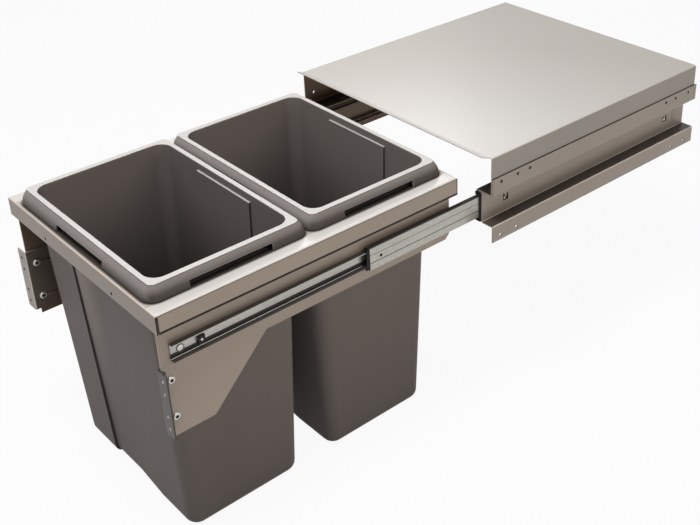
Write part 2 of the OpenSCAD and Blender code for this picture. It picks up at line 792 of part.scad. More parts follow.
module bin(y) {
    rings = bin_rings();
    count = len(ring(rings[0]));
    last = len(rings) - 1;
    color([0.4, 0.37, 0.36]) translate([0, y, 0]) difference() {
        polyhedron(
            points = [for (s = rings) each ring(s)],
            faces = concat(
                [[for (n = [0 : count - 1]) n]],
                [for (s = [0 : last - 1], n = [0 : count - 1], half_face = [0, 1])
                    let (a = s * count + n, b = s * count + (n + 1) % count)
                    half_face == 0 ? [a, a + count, b] : [b, a + count, b + count]],
                [[for (n = [count - 1 : -1 : 0]) last * count + n]]
            ),
            convexity = 10
        );
        for (side = [-1, 1]) {
            translate([side * (bin_w / 2 + skirt_x) - skirt_x + grip_inset, -grip_w / 2, seat_z - cut])
                cube([2 * (skirt_x - grip_inset), grip_w, grip_h + cut]);
            translate([-grip_w / 2, side * (bin_d / 2 + skirt_y) - skirt_y + grip_inset, seat_z - cut])
                cube([grip_w, 2 * (skirt_y - grip_inset), grip_h + cut]);
        }
    }
}

lid();
left_hand() rail();  // left_rail
rail();  // right_rail
left_hand() outer_slide();  // left_outer_slide
outer_slide();  // right_outer_slide
left_hand() front_guide();  // left_front_guide
front_guide();  // right_front_guide
left_hand() rear_stop();  // left_rear_stop
rear_stop();  // right_rear_stop
left_hand() outer_cage();  // left_outer_cage
outer_cage();  // right_outer_cage
left_hand() outer_balls();  // left_outer_balls
outer_balls();  // right_outer_balls
left_hand() middle_slide();  // left_middle_slide
middle_slide();  // right_middle_slide
left_hand() middle_bumper();  // left_middle_bumper
middle_bumper();  // right_middle_bumper
left_hand() inner_cage();  // left_inner_cage
inner_cage();  // right_inner_cage
left_hand() inner_balls();  // left_inner_balls
inner_balls();  // right_inner_balls
carriage_frame();
left_hand() side_plate();  // left_side_plate
side_plate();  // right_side_plate
left_hand() inner_slide();  // left_inner_slide
inner_slide();  // right_inner_slide
left_hand() slide_rivets();  // left_slide_rivets
slide_rivets();  // right_slide_rivets
left_hand() catch();  // left_catch
catch();  // right_catch
left_hand() door_bracket();  // left_door_bracket
door_bracket();  // right_door_bracket
clamp_screws(bracket_sheet - plate_in, -plate_out - nut_t - clamp_tail);  // left_clamp_screws
clamp_screws(plate_out, plate_in - bracket_sheet - nut_t - clamp_tail);  // right_clamp_screws
clamp_nuts(-plate_out - nut_t);  // left_clamp_nuts
clamp_nuts(plate_in - bracket_sheet - nut_t);  // right_clamp_nuts
bin(bin_y[0]);  // front_bin
bin(bin_y[1]);  // rear_bin
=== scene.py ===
"""Looks of a pull out bin frame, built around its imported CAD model."""

import json
import math
from collections import namedtuple

import bmesh
import bpy
from bpy.props import FloatProperty, FloatVectorProperty, IntProperty, PointerProperty
from mathutils import Matrix, Vector

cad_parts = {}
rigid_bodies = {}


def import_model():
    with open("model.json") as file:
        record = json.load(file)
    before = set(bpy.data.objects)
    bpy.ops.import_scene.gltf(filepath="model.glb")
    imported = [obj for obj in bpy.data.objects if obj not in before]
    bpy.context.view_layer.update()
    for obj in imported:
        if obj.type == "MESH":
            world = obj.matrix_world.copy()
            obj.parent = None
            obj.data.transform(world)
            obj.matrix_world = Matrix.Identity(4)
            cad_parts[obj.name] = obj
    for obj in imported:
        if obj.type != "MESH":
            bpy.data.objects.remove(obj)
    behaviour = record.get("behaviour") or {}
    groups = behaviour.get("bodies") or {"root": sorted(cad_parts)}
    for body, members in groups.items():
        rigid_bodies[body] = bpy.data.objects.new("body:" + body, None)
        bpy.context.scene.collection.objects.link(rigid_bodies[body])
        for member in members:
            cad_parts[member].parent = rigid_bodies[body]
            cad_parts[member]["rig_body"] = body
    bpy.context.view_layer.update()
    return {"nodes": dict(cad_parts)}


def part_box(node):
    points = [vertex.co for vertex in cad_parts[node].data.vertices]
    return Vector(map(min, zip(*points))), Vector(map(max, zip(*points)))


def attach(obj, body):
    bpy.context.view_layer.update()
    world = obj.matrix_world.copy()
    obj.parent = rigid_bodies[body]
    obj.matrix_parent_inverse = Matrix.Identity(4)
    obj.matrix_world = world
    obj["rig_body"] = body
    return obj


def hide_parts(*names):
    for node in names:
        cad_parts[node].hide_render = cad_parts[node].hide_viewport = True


bl_info = {
    "name": "Pull out bin frame",
    "version": (1, 0, 0),
    "blender": (4, 5, 0),
    "location": "3D View > Sidebar > Bin frame",
    "description": "Builds the looks of a pull out bin frame around its CAD model",
    "category": "Object",
}

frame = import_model()
SIDES = ("left", "right")
BINS = ("front_bin", "rear_bin")
X, Y, Z = range(3)
WHITE = (1.0, 1.0, 1.0, 1.0)


def mm(value):
    """Millimetres in metres."""
    return value / 1000.0


# Distances, and one area, that tell points and faces apart

TINY = 1e-6
WELD = mm(0.002)
NEAR = mm(0.1)
SKIN = mm(2)
HOLE_FACET = 4e-6

# Parts of a face's normal: straight along an axis, half upward, sloped, leaning, nearly upright

STRAIGHT = 0.9
UPWARD = 0.55
SLOPED = 0.5
LEANING = 0.3
UPRIGHT = 0.05

# Angles between faces: steps round a hole, a flat face, sharp edges, smooth shading, a hexagon's side

HOLE_TURN = (math.radians(4), math.radians(40))
FLAT = math.radians(0.4)
SHARP_SHEET = math.radians(50)
SHARP_BIN = math.radians(34)
SMOOTH = math.radians(35)
SIXTH = math.radians(60)

# Ratios: profile of a round edge, least length of a bend in strips, drawn rivet to solid, slack

ROUND = 0.5
BEND_RUN = 20
RIVET_GAIN = 1.3
SLACK = 0.1


# Property groups


def length(name, description, default):
    """A length in metres."""
    return FloatProperty(name=name, description=description, default=default, unit="LENGTH", min=0.0)


def share(name, description, default):
    """A share from 0 to 1."""
    return FloatProperty(
        name=name, description=description, default=default, subtype="FACTOR", min=0.0, max=1.0
    )


def colour(name, description, default):
    """A colour of a finish."""
    return FloatVectorProperty(
        name=name, description=description, default=default, subtype="COLOR", size=3, min=0.0, max=1.0
    )


def watts(name, description, default):
    """The power of a lamp."""
    return FloatProperty(name=name, description=description, default=default, unit="POWER", min=0.0)


def count(name, description, default):
    """A number of steps."""
    return IntProperty(name=name, description=description, default=default, min=2)


class BinFrameSizes(bpy.types.PropertyGroup):
    """Sizes of the pieces that are modelled here."""

    edge_break: length("Edge break", "Broken edges of the sheet pieces", mm(0.25))
    roll_break: length("Roll break", "Broken edges of the slide members", mm(0.2))
    moulding_break: length("Moulding break", "Broken edges of the black mouldings", mm(0.4))
    rubber_break: length("Rubber break", "Broken edges of the rear stops", mm(0.8))
    nut_break: length("Nut break", "Broken edges of the nuts", mm(0.3))
    bin_break: length("Bin break", "Broken sharp edges of the bins", mm(0.45))
    bend_strip: length("Bend strip", "Widest facet of a bend, which shines", mm(1.0))
    bend_depth: length("Bend depth", "How far a bend of the carriage reaches", mm(3))
    front_bend: length("Front bend", "Depth of the carriage's front bend", mm(2.2))
    # Painted shadow: the dark band under a side lip of the carriage, where its gap lies in shade
    seam_width: length("Seam width", "Dark seam under a side lip of the carriage", mm(3.0))
    corner_seam: length("Corner seam", "Dark seam at the carriage's front corners", mm(1.3))
    lid_line: length("Lid line", "Dark line on the lid's lips along the rails", mm(1.0))
    lid_patch: length("Lid patch", "Half a dark patch behind a rail's hole", mm(3.5))
    lid_reach: length("Lid reach", "Depth of the patch behind a rail's hole", mm(3))
    hook_start: length("Hook start", "Front lanced hook behind a rail's front end", mm(46))
    hook_pitch: length("Hook pitch", "Distance of a rail's two lanced hooks", mm(358))
    hook_window: length("Hook window", "Side of a lanced hook's window", mm(10))
    flange_depth: length("Flange depth", "How far back a bracket's flange counts", mm(2.2))
    web_skin: length("Web skin", "Outermost layer of a cabinet member's web", mm(0.3))
    groove_depth: length("Groove depth", "Deepest pressed groove of a middle member", mm(0.8))
    web_drop: length("Web drop", "Shade on a carriage member's web, below its middle", mm(3))
    bumper_lip: length("Bumper lip", "Bumper in front of the middle member's mouth", mm(4.5))
    pin_radius: length("Pin radius", "Radius of the pin head in a catch", mm(1.7))
    pin_rise: length("Pin rise", "Height of the pin head over the catch", mm(0.25))
    pin_depth: length("Pin depth", "Depth of the pin in the catch", mm(0.8))
    screw_head: length("Screw head", "Height of a clamp screw's head", mm(3))
    screw_chamfer: length("Screw chamfer", "Chamfer at a clamp screw's end", mm(0.4))
    rivet_head: length("Rivet head", "Height of a slide rivet's head", mm(1.6))
    rivet_tail: length("Rivet tail", "Height of a slide rivet's tail", mm(1.0))
    rivet_chamfer: length("Rivet chamfer", "Chamfer at a slide rivet's tail", mm(0.3))
    bin_height: length("Bin height", "Height of a bin over its rim", mm(390))
    rim_height: length("Rim height", "Height of the rim's skirt", mm(19.3))
    bin_width: length("Bin width", "Width of a bin's body under the rim", mm(302))
    bin_depth: length("Bin depth", "Depth of a bin's body under the rim", mm(201))
    floor_width: length("Floor width", "Width of a bin's body at the floor", mm(275))
    floor_depth: length("Floor depth", "Depth of a bin's body at the floor", mm(169))
    bin_wall: length("Bin wall", "Wall of a bin", mm(2.6))
    skirt_side: length("Skirt side", "Body to the skirt's outer face, left and right", mm(11.5))
    skirt_front: length("Skirt front", "Body to the skirt's outer face, front and back", mm(10))
    skirt_flare: length("Skirt flare", "Skirt wider at its bottom than at its top", mm(7.5))
    skirt_root: length("Skirt root", "Room between a skirt's root and the body's end", mm(0.6))
    skirt_gap: length("Skirt gap", "Body's bare stretch below a skirt's foot", mm(1))
    skirt_corner: length("Skirt corner", "Radius of the skirt's corners at its bottom", mm(16))
    least_corner: length("Least corner", "Smallest radius of an upright edge", mm(3))
    bin_corner: length("Bin corner", "Radius of the upright edges under the rim", mm(23))
    floor_corner: length("Floor corner", "Radius of the upright edges at the floor", mm(18))
    floor_edge: length("Floor edge", "Radius of the floor's edge", mm(14))
    recess_width: length("Recess width", "Width of the front and back walls' recesses", mm(120))
    recess_top: length("Recess top", "Depth of the recess under the rim", mm(2.2))
    recess_floor: length("Recess floor", "Depth of the recess at the floor", mm(4))
    recess_side: length("Recess side", "Run of the recess's sloped side", mm(0.8))
    ledge_drop: length("Ledge drop", "Recess ledge below the rim's top", mm(11))
    ledge_slope: length("Ledge slope", "Height of the ledge's slope", mm(0.6))
    grip_width: length("Grip width", "Width of the grip cut-outs", mm(114))
    grip_height: length("Grip height", "Height of the grip cut-outs", mm(9.5))
    # The bead is painted pale as a highlight
    grip_bead: length("Grip bead", "Bright bead round a grip cut-out", mm(0.8))
    rim_lip: length("Rim lip", "Rim wider than the wall, towards the inside", mm(2.5))
    rim_round: length("Rim round", "Radius of the rim's upper edges", mm(1.5))
    skirt_shade: length("Skirt shade", "Shade on the top plate beyond a skirt", mm(4.5))
    skirt_core: length("Skirt core", "Full shade on the top plate beyond a skirt", mm(0.2))
    foot_shade: length("Foot shade", "Shade on a skirt, above its foot", mm(17))
    foot_fade: length("Foot fade", "Upper end of the dark line at a skirt's foot", mm(1.5))
    foot_line: length("Foot line", "Full dark line at a skirt's foot", mm(0.8))
    flank_start: length("Flank start", "Upper end of the shade on a skirt's flanks", mm(19))
    flank_full: length("Flank full", "Full shade on a skirt's flanks", mm(6))
    corner_steps: count("Corner steps", "Steps round a bin's corner", 12)
    floor_steps: count("Floor steps", "Steps round the floor's edge", 6)
    rim_steps: count("Rim steps", "Steps round the rim's upper edges", 4)
    dome_steps: count("Dome steps", "Steps up a domed head", 5)
    spin_steps: count("Spin steps", "Steps round a screw or rivet", 36)
    pin_steps: count("Pin steps", "Steps round a pin head", 24)
    edge_steps: count("Edge steps", "Steps across a broken edge", 2)


class BinFrameFinish(bpy.types.PropertyGroup):
    """Colours and gloss of the finishes, and the colours of the painted highlights and painted shade."""

    lid: colour("Lid", "Pale satin lacquer of the lid", (0.385, 0.355, 0.322))
    rail: colour("Rails", "Satin lacquer of the rails", (0.40, 0.35, 0.31))
    carriage: colour("Carriage", "Satin lacquer of the carriage", (0.43, 0.362, 0.308))
    bracket: colour("Brackets", "Satin lacquer of the door brackets", (0.45, 0.41, 0.38))
    # Painted highlight: the pale colour of the painted sheen on the lid's top and the carriage's top plate
    polished: colour("Polished lacquer", "Lacquer that is rubbed pale", (0.68, 0.665, 0.645))
    # Brown coat of the cabinet members; also the colour of the painted brown shade on faces inside the
    # frame
    member: colour("Cabinet members", "Brown coat inside the frame", (0.17, 0.105, 0.062))
    plastic: colour("Bins", "Grey plastic of the bins", (0.186, 0.164, 0.153))
    # Painted highlight: the pale colour painted on the bins' rims, ledges and grip beads
    rim: colour("Rims", "Polished upper edge of the bins", (0.60, 0.585, 0.572))
    skirt: colour("Skirts", "Outer face of the bins' skirts", (0.285, 0.258, 0.246))
    zinc: colour("Zinc", "Galvanised slide members", (0.475, 0.456, 0.425))
    # Dark ball cages: greased, and darkened as painted shade inside the members
    cage: colour("Ball cages", "Greased strip of the ball cages", (0.06, 0.057, 0.052))
    bright_zinc: colour("Bright zinc", "Screws, nuts and rivets", (0.60, 0.60, 0.57))
    black: colour("Black plastic", "Guides, bumpers and catches", (0.014, 0.014, 0.015))
    # Painted shade: the dark colour that marked faces go towards, on hole walls, shadow lines and shaded
    # patches
    soot: colour("Seams", "Dark seams, hole walls and shaded patches", (0.014, 0.0105, 0.008))
    paint_metal: share("Paint metal", "Metal share of the lacquer", 0.15)
    paint_rough: share("Paint roughness", "Roughness of the lacquer", 0.30)
    paint_gloss: share("Paint gloss", "Mirror share of the lacquer", 0.2)
    member_gloss: share("Member gloss", "Mirror share of the cabinet members", 0.04)
    coat: share("Coat", "Clear coat for each share of gloss", 0.3)
    # Clear coat that goes with the painted sheen
    polish_coat: share("Polish coat", "Clear coat where the lacquer is rubbed", 0.35)
    coat_rough: share("Coat roughness", "Roughness of the clear coat", 0.2)
    plastic_rough: share("Plastic roughness", "Roughness of the bins", 0.56)
    plastic_gloss: share("Plastic gloss", "Mirror share of the bins", 0.1)
    zinc_metal: share("Zinc metal", "Metal share of the zinc", 0.75)
    zinc_rough: share("Zinc roughness", "Roughness of the slide members", 0.30)
    cage_rough: share("Cage roughness", "Roughness of the ball cages", 0.36)
    ball_rough: share("Ball roughness", "Roughness of the balls", 0.10)
    pin_rough: share("Pin roughness", "Roughness of the catch pins", 0.24)
    bright_rough: share("Bright roughness", "Roughness of screws, nuts and rivets", 0.18)
    black_rough: share("Black roughness", "Roughness of the black mouldings", 0.4)
    rubber_rough: share("Rubber roughness", "Roughness of the rear stops", 0.7)
    black_gloss: share("Black gloss", "Mirror share of the black mouldings", 0.2)


class BinFrameMarks(bpy.types.PropertyGroup):
    """How strong the painted shade, painted highlights and painted brown shade on the marked places are.
    """

    hole: share("Holes", "Shade on the walls of punched holes", 0.9)
    bend: share("Bends", "Shine along the bends", 0.8)
    # Painted highlight on the lid's top: strongest at its front right corner, a share of it elsewhere
    lid_top: share("Lid top", "Rub of the lid's top at its front right corner", 0.66)
    lid_rest: share("Lid rest", "Share of that rub in the other corners", 0.34)
    lid_line: share("Lid line", "Shade on the lid's lips along the rails", 0.75)
    lid_patch: share("Lid patches", "Shade behind the rails' upper holes", 0.95)
    # Painted shade on the top plate under and just beyond the skirts
    under_bins: share("Under bins", "Shade and dust under the skirts", 0.92)
    front_lip: share("Front lip", "Shade on the carriage's front lip", 0.25)
    lip_round: share("Lip rounds", "Shade on the rounds of the side lips", 0.55)
    # Painted highlight on the top plate, beside the bins and elsewhere
    side_strip: share("Side strips", "Rub of the top plate beside the bins", 0.85)
    top_plate: share("Top plate", "Rub of the top plate elsewhere", 0.3)
    plate: share("Side plates", "Shade on the side plates' inner faces", 0.3)
    # Painted brown shade
    plate_brown: share("Plate brown", "Brown of the side plates' inner faces", 0.75)
    upper_shelf: share("Upper shelves", "Shade on the rails' upper shelves", 0.96)
    lower_shelf: share("Lower shelves", "Shade on the rails' lower shelves", 0.85)
    hook: share("Hooks", "Shade behind the rails' lanced hooks", 0.95)
    leg: share("Legs", "Shade on the brackets' legs", 0.58)
    # Painted brown shade
    leg_brown: share("Leg brown", "Brown of the brackets' legs", 0.5)
    left_flange: share("Left flange", "Shade on the left bracket's flange", 0.25)
    right_flange: share("Right flange", "Shade on the right bracket's flange", 0.86)
    upper_groove: share("Upper grooves", "Shade in the middle members' upper grooves", 0.45)
    member_edge: share("Member edges", "Shade on the middle members' upper edges", 0.95)
    member_inside: share("Member insides", "Shade inside the middle members", 0.8)
    member_end: share("Member ends", "Shade on the carriage members' ends", 0.9)
    track: share("Tracks", "Shade on the carriage members' tracks", 0.8)
    turned: share("Turned parts", "Shade in sockets and grooves", 0.9)
    # Painted highlights on the ledges inside the bins and the beads round the grips
    ledge: share("Ledges", "Polish of the ledges inside the bins", 0.55)
    bead: share("Beads", "Polish of the beads round the grips", 0.45)
    under_skirt: share("Under skirts", "Shade under a bin's skirt", 0.85)
    recess_end: share("Recess ends", "Shade on the recesses' sides", 0.75)
    pressed: share("Pressed walls", "Light on a recess beside its crisp end", 0.72)
    foot: share("Feet", "Shade at the skirts' feet", 0.72)
    foot_line: share("Foot lines", "Dark line at the skirts' feet", 0.9)
    flank: share("Flanks", "Shade on the skirts' flanks, at the top", 0.13)
    flank_foot: share("Flank feet", "Shade that a flank gains towards its foot", 0.6)
    inside: share("Insides", "Shade inside the bins, at the top", 0.14)
    inside_depth: share("Inside depth", "Shade that a bin's inside gains downwards", 0.5)
    inside_start: share("Inside start", "Share of the height where it starts", 0.92)
    inside_full: share("Inside full", "Share of the height where it is full", 0.4)


class BinFrameStage(bpy.types.PropertyGroup):
    """Light and floor."""

    world_light: share("World", "Even light from all round", 0.14)
    top_light: watts("Top", "Soft lamp overhead", 35.0)
    key_light: watts("Key", "Soft lamp at the front left", 7.0)
    back_light: watts("Back", "Lamp behind the object", 9.0)
    side_light: watts("Side", "Warm lamp on the right", 9.0)
    floor: colour("Floor", "Pale floor", (0.78, 0.77, 0.76))
    floor_white: share("Floor white", "How far the floor goes towards the white background", 0.93)


def size_settings():
    return bpy.context.scene.bin_frame_sizes


def finish_settings():
    return bpy.context.scene.bin_frame_finish


def mark_settings():
    return bpy.context.scene.bin_frame_marks


# Shader maths


class Socket:
    """A node's output whose arithmetic adds Math nodes."""

    def __init__(self, shop, link):
        self.shop = shop
        self.link = link

    def _math(self, operation, a, b):
        return self.shop.node("ShaderNodeMath", {"operation": operation}, [a, b])

    def __add__(self, other):
        return self._math("ADD", self, other)

    __radd__ = __add__

    def __mul__(self, other):
        return self._math("MULTIPLY", self, other)

    __rmul__ = __mul__

    def __sub__(self, other):
        return self._math("SUBTRACT", self, other)

    def __rsub__(self, other):
        return self._math("SUBTRACT", other, self)

    def above(self, other):
        return self._math("GREATER_THAN", self, other)

    def most(self, other):
        return self._math("MAXIMUM", self, other)

    def size(self):
        return self._math("ABSOLUTE", self, None)

    def root(self):
        return self._math("SQRT", self, None)

    def ramp(self, low, high):
        """Smooth step from 0 at one value to 1 at another."""
        settings = {"interpolation_type": "SMOOTHSTEP"}
        inputs = {"Value": self, "From Min": low, "From Max": high}
        return self.shop.node("ShaderNodeMapRange", settings, inputs)


class Shop:
    """Adds nodes to one material or world."""

    def __init__(self, owner):
        owner.use_nodes = True
        self.tree = owner.node_tree
        self.tree.nodes.clear()

    def node(self, kind, settings, inputs, output=0):
        """A node of a type, with its settings, then the values or links of its sockets."""
        made = self.tree.nodes.new(kind)
        for key, value in settings.items():
            setattr(made, key, value)
        named = inputs.items() if isinstance(inputs, dict) else enumerate(inputs)
        for key, value in named:
            if isinstance(value, Socket):
                self.tree.links.new(value.link, made.inputs[key])
            elif value is not None:
                made.inputs[key].default_value = value
        return Socket(self, made.outputs[output]) if made.outputs else None

    def place(self, scale=(1.0, 1.0, 1.0)):
        """The place on the piece, stretched."""
        coordinates = self.node("ShaderNodeTexCoord", {}, {}, "Object")
        return self.node("ShaderNodeMapping", {}, {"Vector": coordinates, "Scale": scale})

    def axes(self):
        """The three coordinates of the place on the piece."""
        coordinates = self.node("ShaderNodeTexCoord", {}, {}, "Object")
        return [self.node("ShaderNodeSeparateXYZ", {}, [coordinates], axis) for axis in (X, Y, Z)]

    def mark(self, name):
        """A face mark that the model carries, 0 where it has none."""
        return self.node("ShaderNodeAttribute", {"attribute_name": name}, {}, "Fac")

    def noise(self, place, scale, detail, roughness=0.5):
        inputs = {"Vector": place, "Scale": scale, "Detail": detail, "Roughness": roughness}
        return self.node("ShaderNodeTexNoise", {}, inputs)

    def blend(self, factor, a, b):
        """A colour between two colours."""
        settings = {"data_type": "RGBA", "blend_type": "MIX"}
        return self.node("ShaderNodeMix", settings, {0: factor, 6: a, 7: b}, 2)

    def vary(self, factor, rgb, darkest, palest):
        """A colour that goes between a darker and a paler one of its kind."""
        return self.blend(factor, tint(rgb, darkest), tint(rgb, palest))

    def bump(self, height, strength, distance):
        inputs = {"Strength": strength, "Distance": distance, "Height": height}
        return self.node("ShaderNodeBump", {}, inputs)

    def surface(self, **inputs):
        """The material's shader, wired to its output."""
        names = {key.replace("_", " "): value for key, value in inputs.items()}
        shader = self.node("ShaderNodeBsdfPrincipled", {}, names)
        self.node("ShaderNodeOutputMaterial", {}, {"Surface": shader})


def tint(rgb, gain=1.0):
    """A colour made lighter or darker, with full alpha."""
    return (*(min(1.0, c * gain) for c in rgb), 1.0)


def new_material(name):
    """A material by its name, emptied, and the shop that fills it."""
    material = bpy.data.materials.get(name)
    if material is None:
        material = bpy.data.materials.new(name)
    return material, Shop(material)


def satin_paint(name, rgb, finish, gloss, shade=None, sheen_spread=None):
    """Satin metal lacquer: fine flakes, slight orange peel; paler along broken edges, as wear and painted
    highlight, and along bends, as painted highlight; a pale painted sheen, painted brown shade and painted
    shade where marked.
    """
    material, shop = new_material(name)
    place = shop.place()
    flakes = shop.noise(place, scale=1600.0, detail=2.0, roughness=0.7)
    clouds = shop.noise(place, scale=7.0, detail=3.0)
    peel = shop.noise(place, scale=260.0, detail=1.0)
    base = shop.vary(flakes * 0.6 + clouds * 0.4, rgb, darkest=0.86, palest=1.14)
    # Painted highlight: the sheen mark, spread over the lid by its own spread, paints the lacquer pale
    # where light catches it, and adds clear coat there
    polish = shop.mark("polish")
    if sheen_spread is not None:
        polish = polish * sheen_spread(shop)
    sheen_tinted = shop.blend(polish, base, tint(finish.polished))
    # Painted shade: faces inside the frame go brown where they lie in shade
    brown = shop.blend(shop.mark("stain"), sheen_tinted, tint(finish.member))
    # Paler broken edges are wear and painted highlight; paler bends are painted highlight
    edge_wear_and_shine = shop.blend(shop.mark("edge"), brown, tint(rgb, gain=1.6))
    # Painted shade: marked faces and the shade passed in go towards the shade colour
    dark = shop.mark("seam")
    if shade is not None:
        dark = dark.most(shade(shop))
    shop.surface(
        Base_Color=shop.blend(dark, edge_wear_and_shine, tint(finish.soot)),
        Metallic=finish.paint_metal,
        Roughness=finish.paint_rough + clouds * 0.08 + peel * 0.04,
        Normal=shop.bump(peel + flakes * 0.3, strength=0.05, distance=mm(0.2)),
        Specular_IOR_Level=gloss,
        Coat_Weight=finish.coat * gloss + polish * finish.polish_coat,
        Coat_Roughness=finish.coat_rough,
    )
    return material


def lid_sheen(shop):
    """How strong the painted highlight on the lid's top is, most at its front right corner."""
    x, y, _ = shop.axes()
    low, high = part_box("lid")
    rest = mark_settings().lid_rest
    return rest + x.ramp(low.x, high.x) * y.ramp(high.y, low.y) * (1 - rest)


def under_skirts(shop):
    """Painted shade on the top plate, under and just beyond the skirts of both bins."""
    x, y, z = shop.axes()
    sizes = size_settings()
    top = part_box("carriage_frame")[1].z
    corner = sizes.skirt_corner
    inside = None
    for node in BINS:
        low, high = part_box(node)
        across = (x.size() - (high.x - corner)).most(0.0)
        along = ((y - (low.y + high.y) / 2).size() - ((high.y - low.y) / 2 - corner)).most(0.0)
        reach = (across * across + along * along).root()
        under = reach.ramp(corner + sizes.skirt_shade, corner + sizes.skirt_core)
        inside = under if inside is None else inside.most(under)
    return inside * z.above(top - SKIN) * mark_settings().under_bins


def zinc_sheet(name, rgb, finish, rough):
    """Galvanised strip: fine drawn streaks along its length and a faint spangle; paler broken edges and
    bends as wear and painted highlight, painted shade and painted brown shade where the faces are marked.
    """
    material, shop = new_material(name)
    streaks = shop.noise(shop.place((700.0, 5.0, 700.0)), scale=1.0, detail=3.0, roughness=0.6)
    cells = {"Vector": shop.place(), "Scale": 210.0}
    spangle = shop.node("ShaderNodeTexVoronoi", {"feature": "F1"}, cells, "Color")
    grain = shop.noise(shop.place(), scale=45.0, detail=3.0)
    lively = shop.node("ShaderNodeRGBToBW", {}, [spangle])
    base = shop.vary(streaks * 0.6 + lively * 0.4, rgb, darkest=0.8, palest=1.2)
    edge_wear_and_shine = shop.blend(shop.mark("edge") * 0.6, base, tint(rgb, gain=1.5))
    # Painted shade: marked faces go nearly black and lose their metal
    seam = shop.mark("seam")
    dark = shop.blend(seam, edge_wear_and_shine, tint(rgb, gain=0.04))
    shop.surface(
        # Painted brown shade where the member lies in shade inside the frame
        Base_Color=shop.blend(shop.mark("stain"), dark, tint(finish.member, gain=0.8)),
        Metallic=finish.zinc_metal - seam * 0.6,
        Roughness=rough + grain * 0.1 + lively * 0.04,
        Normal=shop.bump(streaks, strength=0.06, distance=mm(0.1)),
    )
    return material


def skirt_shade(shop, height, sizes, tone):
    """Shade on the bins' skirts: a dark foot all round, and darker flanks."""
    seat = sizes.bin_height - sizes.rim_height
    foot = height.ramp(seat + sizes.foot_shade, seat) * tone.foot
    line = height.ramp(seat + sizes.foot_fade, seat + sizes.foot_line) * tone.foot_line
    fall = height.ramp(seat + sizes.flank_start, seat + sizes.flank_full)
    flank = shop.mark("flank") * (tone.flank + fall * tone.flank_foot)
    return (shop.mark("skirt") * foot.most(line)).most(flank)


def moulded_plastic(name, rgb, finish, sizes, tone):
    """Bin plastic: a fine moulded grain, smoother on the rim and the skirt and paler on the skirt; painted
    highlights on the rim, ledges, grip beads and beside the recesses' crisp ends; painted shade inside, on
    the skirts and where the faces are marked.
    """
    material, shop = new_material(name)
    grain = shop.noise(shop.place(), scale=1500.0, detail=2.0, roughness=0.6)
    flow = shop.noise(shop.place((9.0, 9.0, 2.0)), scale=1.0, detail=3.0)
    x, _, height = shop.axes()
    rise = height.ramp(0.0, sizes.bin_height)
    # The plastic goes darker towards the bottom
    base = shop.vary(rise * 0.6 + flow * 0.25 + grain * 0.15, rgb, darkest=0.7, palest=1.34)
    # Painted highlight on a recessed front wall beside its crisp end, stronger higher up
    lit = shop.mark("pressed") * x.ramp(0.0, -sizes.recess_width / 2) * rise * rise
    wall = shop.blend(lit * tone.pressed, base, tint(rgb, gain=2.9))
    outside = shop.blend(shop.mark("skirt"), wall, tint(finish.skirt))
    # Paler broken edges: wear and painted highlight
    edge_wear_and_shine = shop.blend(shop.mark("edge") * 0.6, outside, tint(rgb, gain=3.2))
    # Painted highlight: the pale rim colour on the rim, the ledges and the grip beads
    polished = shop.blend(shop.mark("rim"), edge_wear_and_shine, tint(finish.rim))
    # Painted shade inside the bins, darker further down
    depth = height.ramp(tone.inside_start * sizes.bin_height, tone.inside_full * sizes.bin_height)
    inside = shop.mark("inside") * (tone.inside + depth * tone.inside_depth)
    dark = shop.mark("seam").most(skirt_shade(shop, height, sizes, tone)).most(inside)
    above_seat = height.above(sizes.bin_height - sizes.rim_height)
    shop.surface(
        Base_Color=shop.blend(dark, polished, tint(finish.soot)),
        Roughness=finish.plastic_rough + flow * 0.06 - above_seat * 0.12,
        Normal=shop.bump(grain, strength=0.08, distance=mm(0.12)),
        Specular_IOR_Level=finish.plastic_gloss,
    )
    return material


def black_plastic(name, rgb, finish, rough):
    """Black moulding or rubber with a fine matt grain."""
    material, shop = new_material(name)
    grain = shop.noise(shop.place(), scale=1800.0, detail=2.0, roughness=0.6)
    clouds = shop.noise(shop.place(), scale=60.0, detail=2.0)
    shop.surface(
        Base_Color=shop.vary(clouds, rgb, darkest=0.75, palest=1.5),
        Roughness=rough + grain * 0.1,
        Normal=shop.bump(grain, strength=0.1, distance=mm(0.1)),
        Specular_IOR_Level=finish.black_gloss,
    )
    return material


# Modelling helpers


def finish_piece(name, bm, material, body, stands_for):
    """Turns a bmesh into a piece that rides on a body and stands for CAD nodes."""
    mesh = bpy.data.meshes.new(name)
    bm.to_mesh(mesh)
    bm.free()
    if "custom_normal" in mesh.attributes:
        mesh.attributes.remove(mesh.attributes["custom_normal"])
    mesh.shade_smooth()
    mesh.set_sharp_from_angle(angle=SMOOTH)
    mesh.materials.clear()
    mesh.materials.append(material)
    piece = bpy.data.objects.new(name, mesh)
    bpy.context.scene.collection.objects.link(piece)
    weighted = piece.modifiers.new("even_normals", "WEIGHTED_NORMAL")
    weighted.keep_sharp = True
    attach(piece, body)
    if stands_for:
        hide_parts(*stands_for)
    return piece


def body_of(node):
    """The CAD body that a node is in."""
    return frame["nodes"][node]["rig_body"]


def mark(bm, name):
    """The face layer of a mark that the finishes read."""
    layers = bm.faces.layers.float
    return layers.get(name) or layers.new(name)


def marks(bm, *names):
    """The face layers of several marks."""
    return [mark(bm, name) for name in names]


def box_of(verts):
    """The lowest and highest corner of some points."""
    return [Vector(pick(v.co[axis] for v in verts) for axis in (X, Y, Z)) for pick in (min, max)]


def side_of(bm):
    """The side that a piece of a pair is on."""
    return "left" if bm.verts[:][0].co.x < 0 else "right"


def looks_along(face, axis):
    """Whether a face looks straight along an axis, either way."""
    return abs(face.normal[axis]) > STRAIGHT


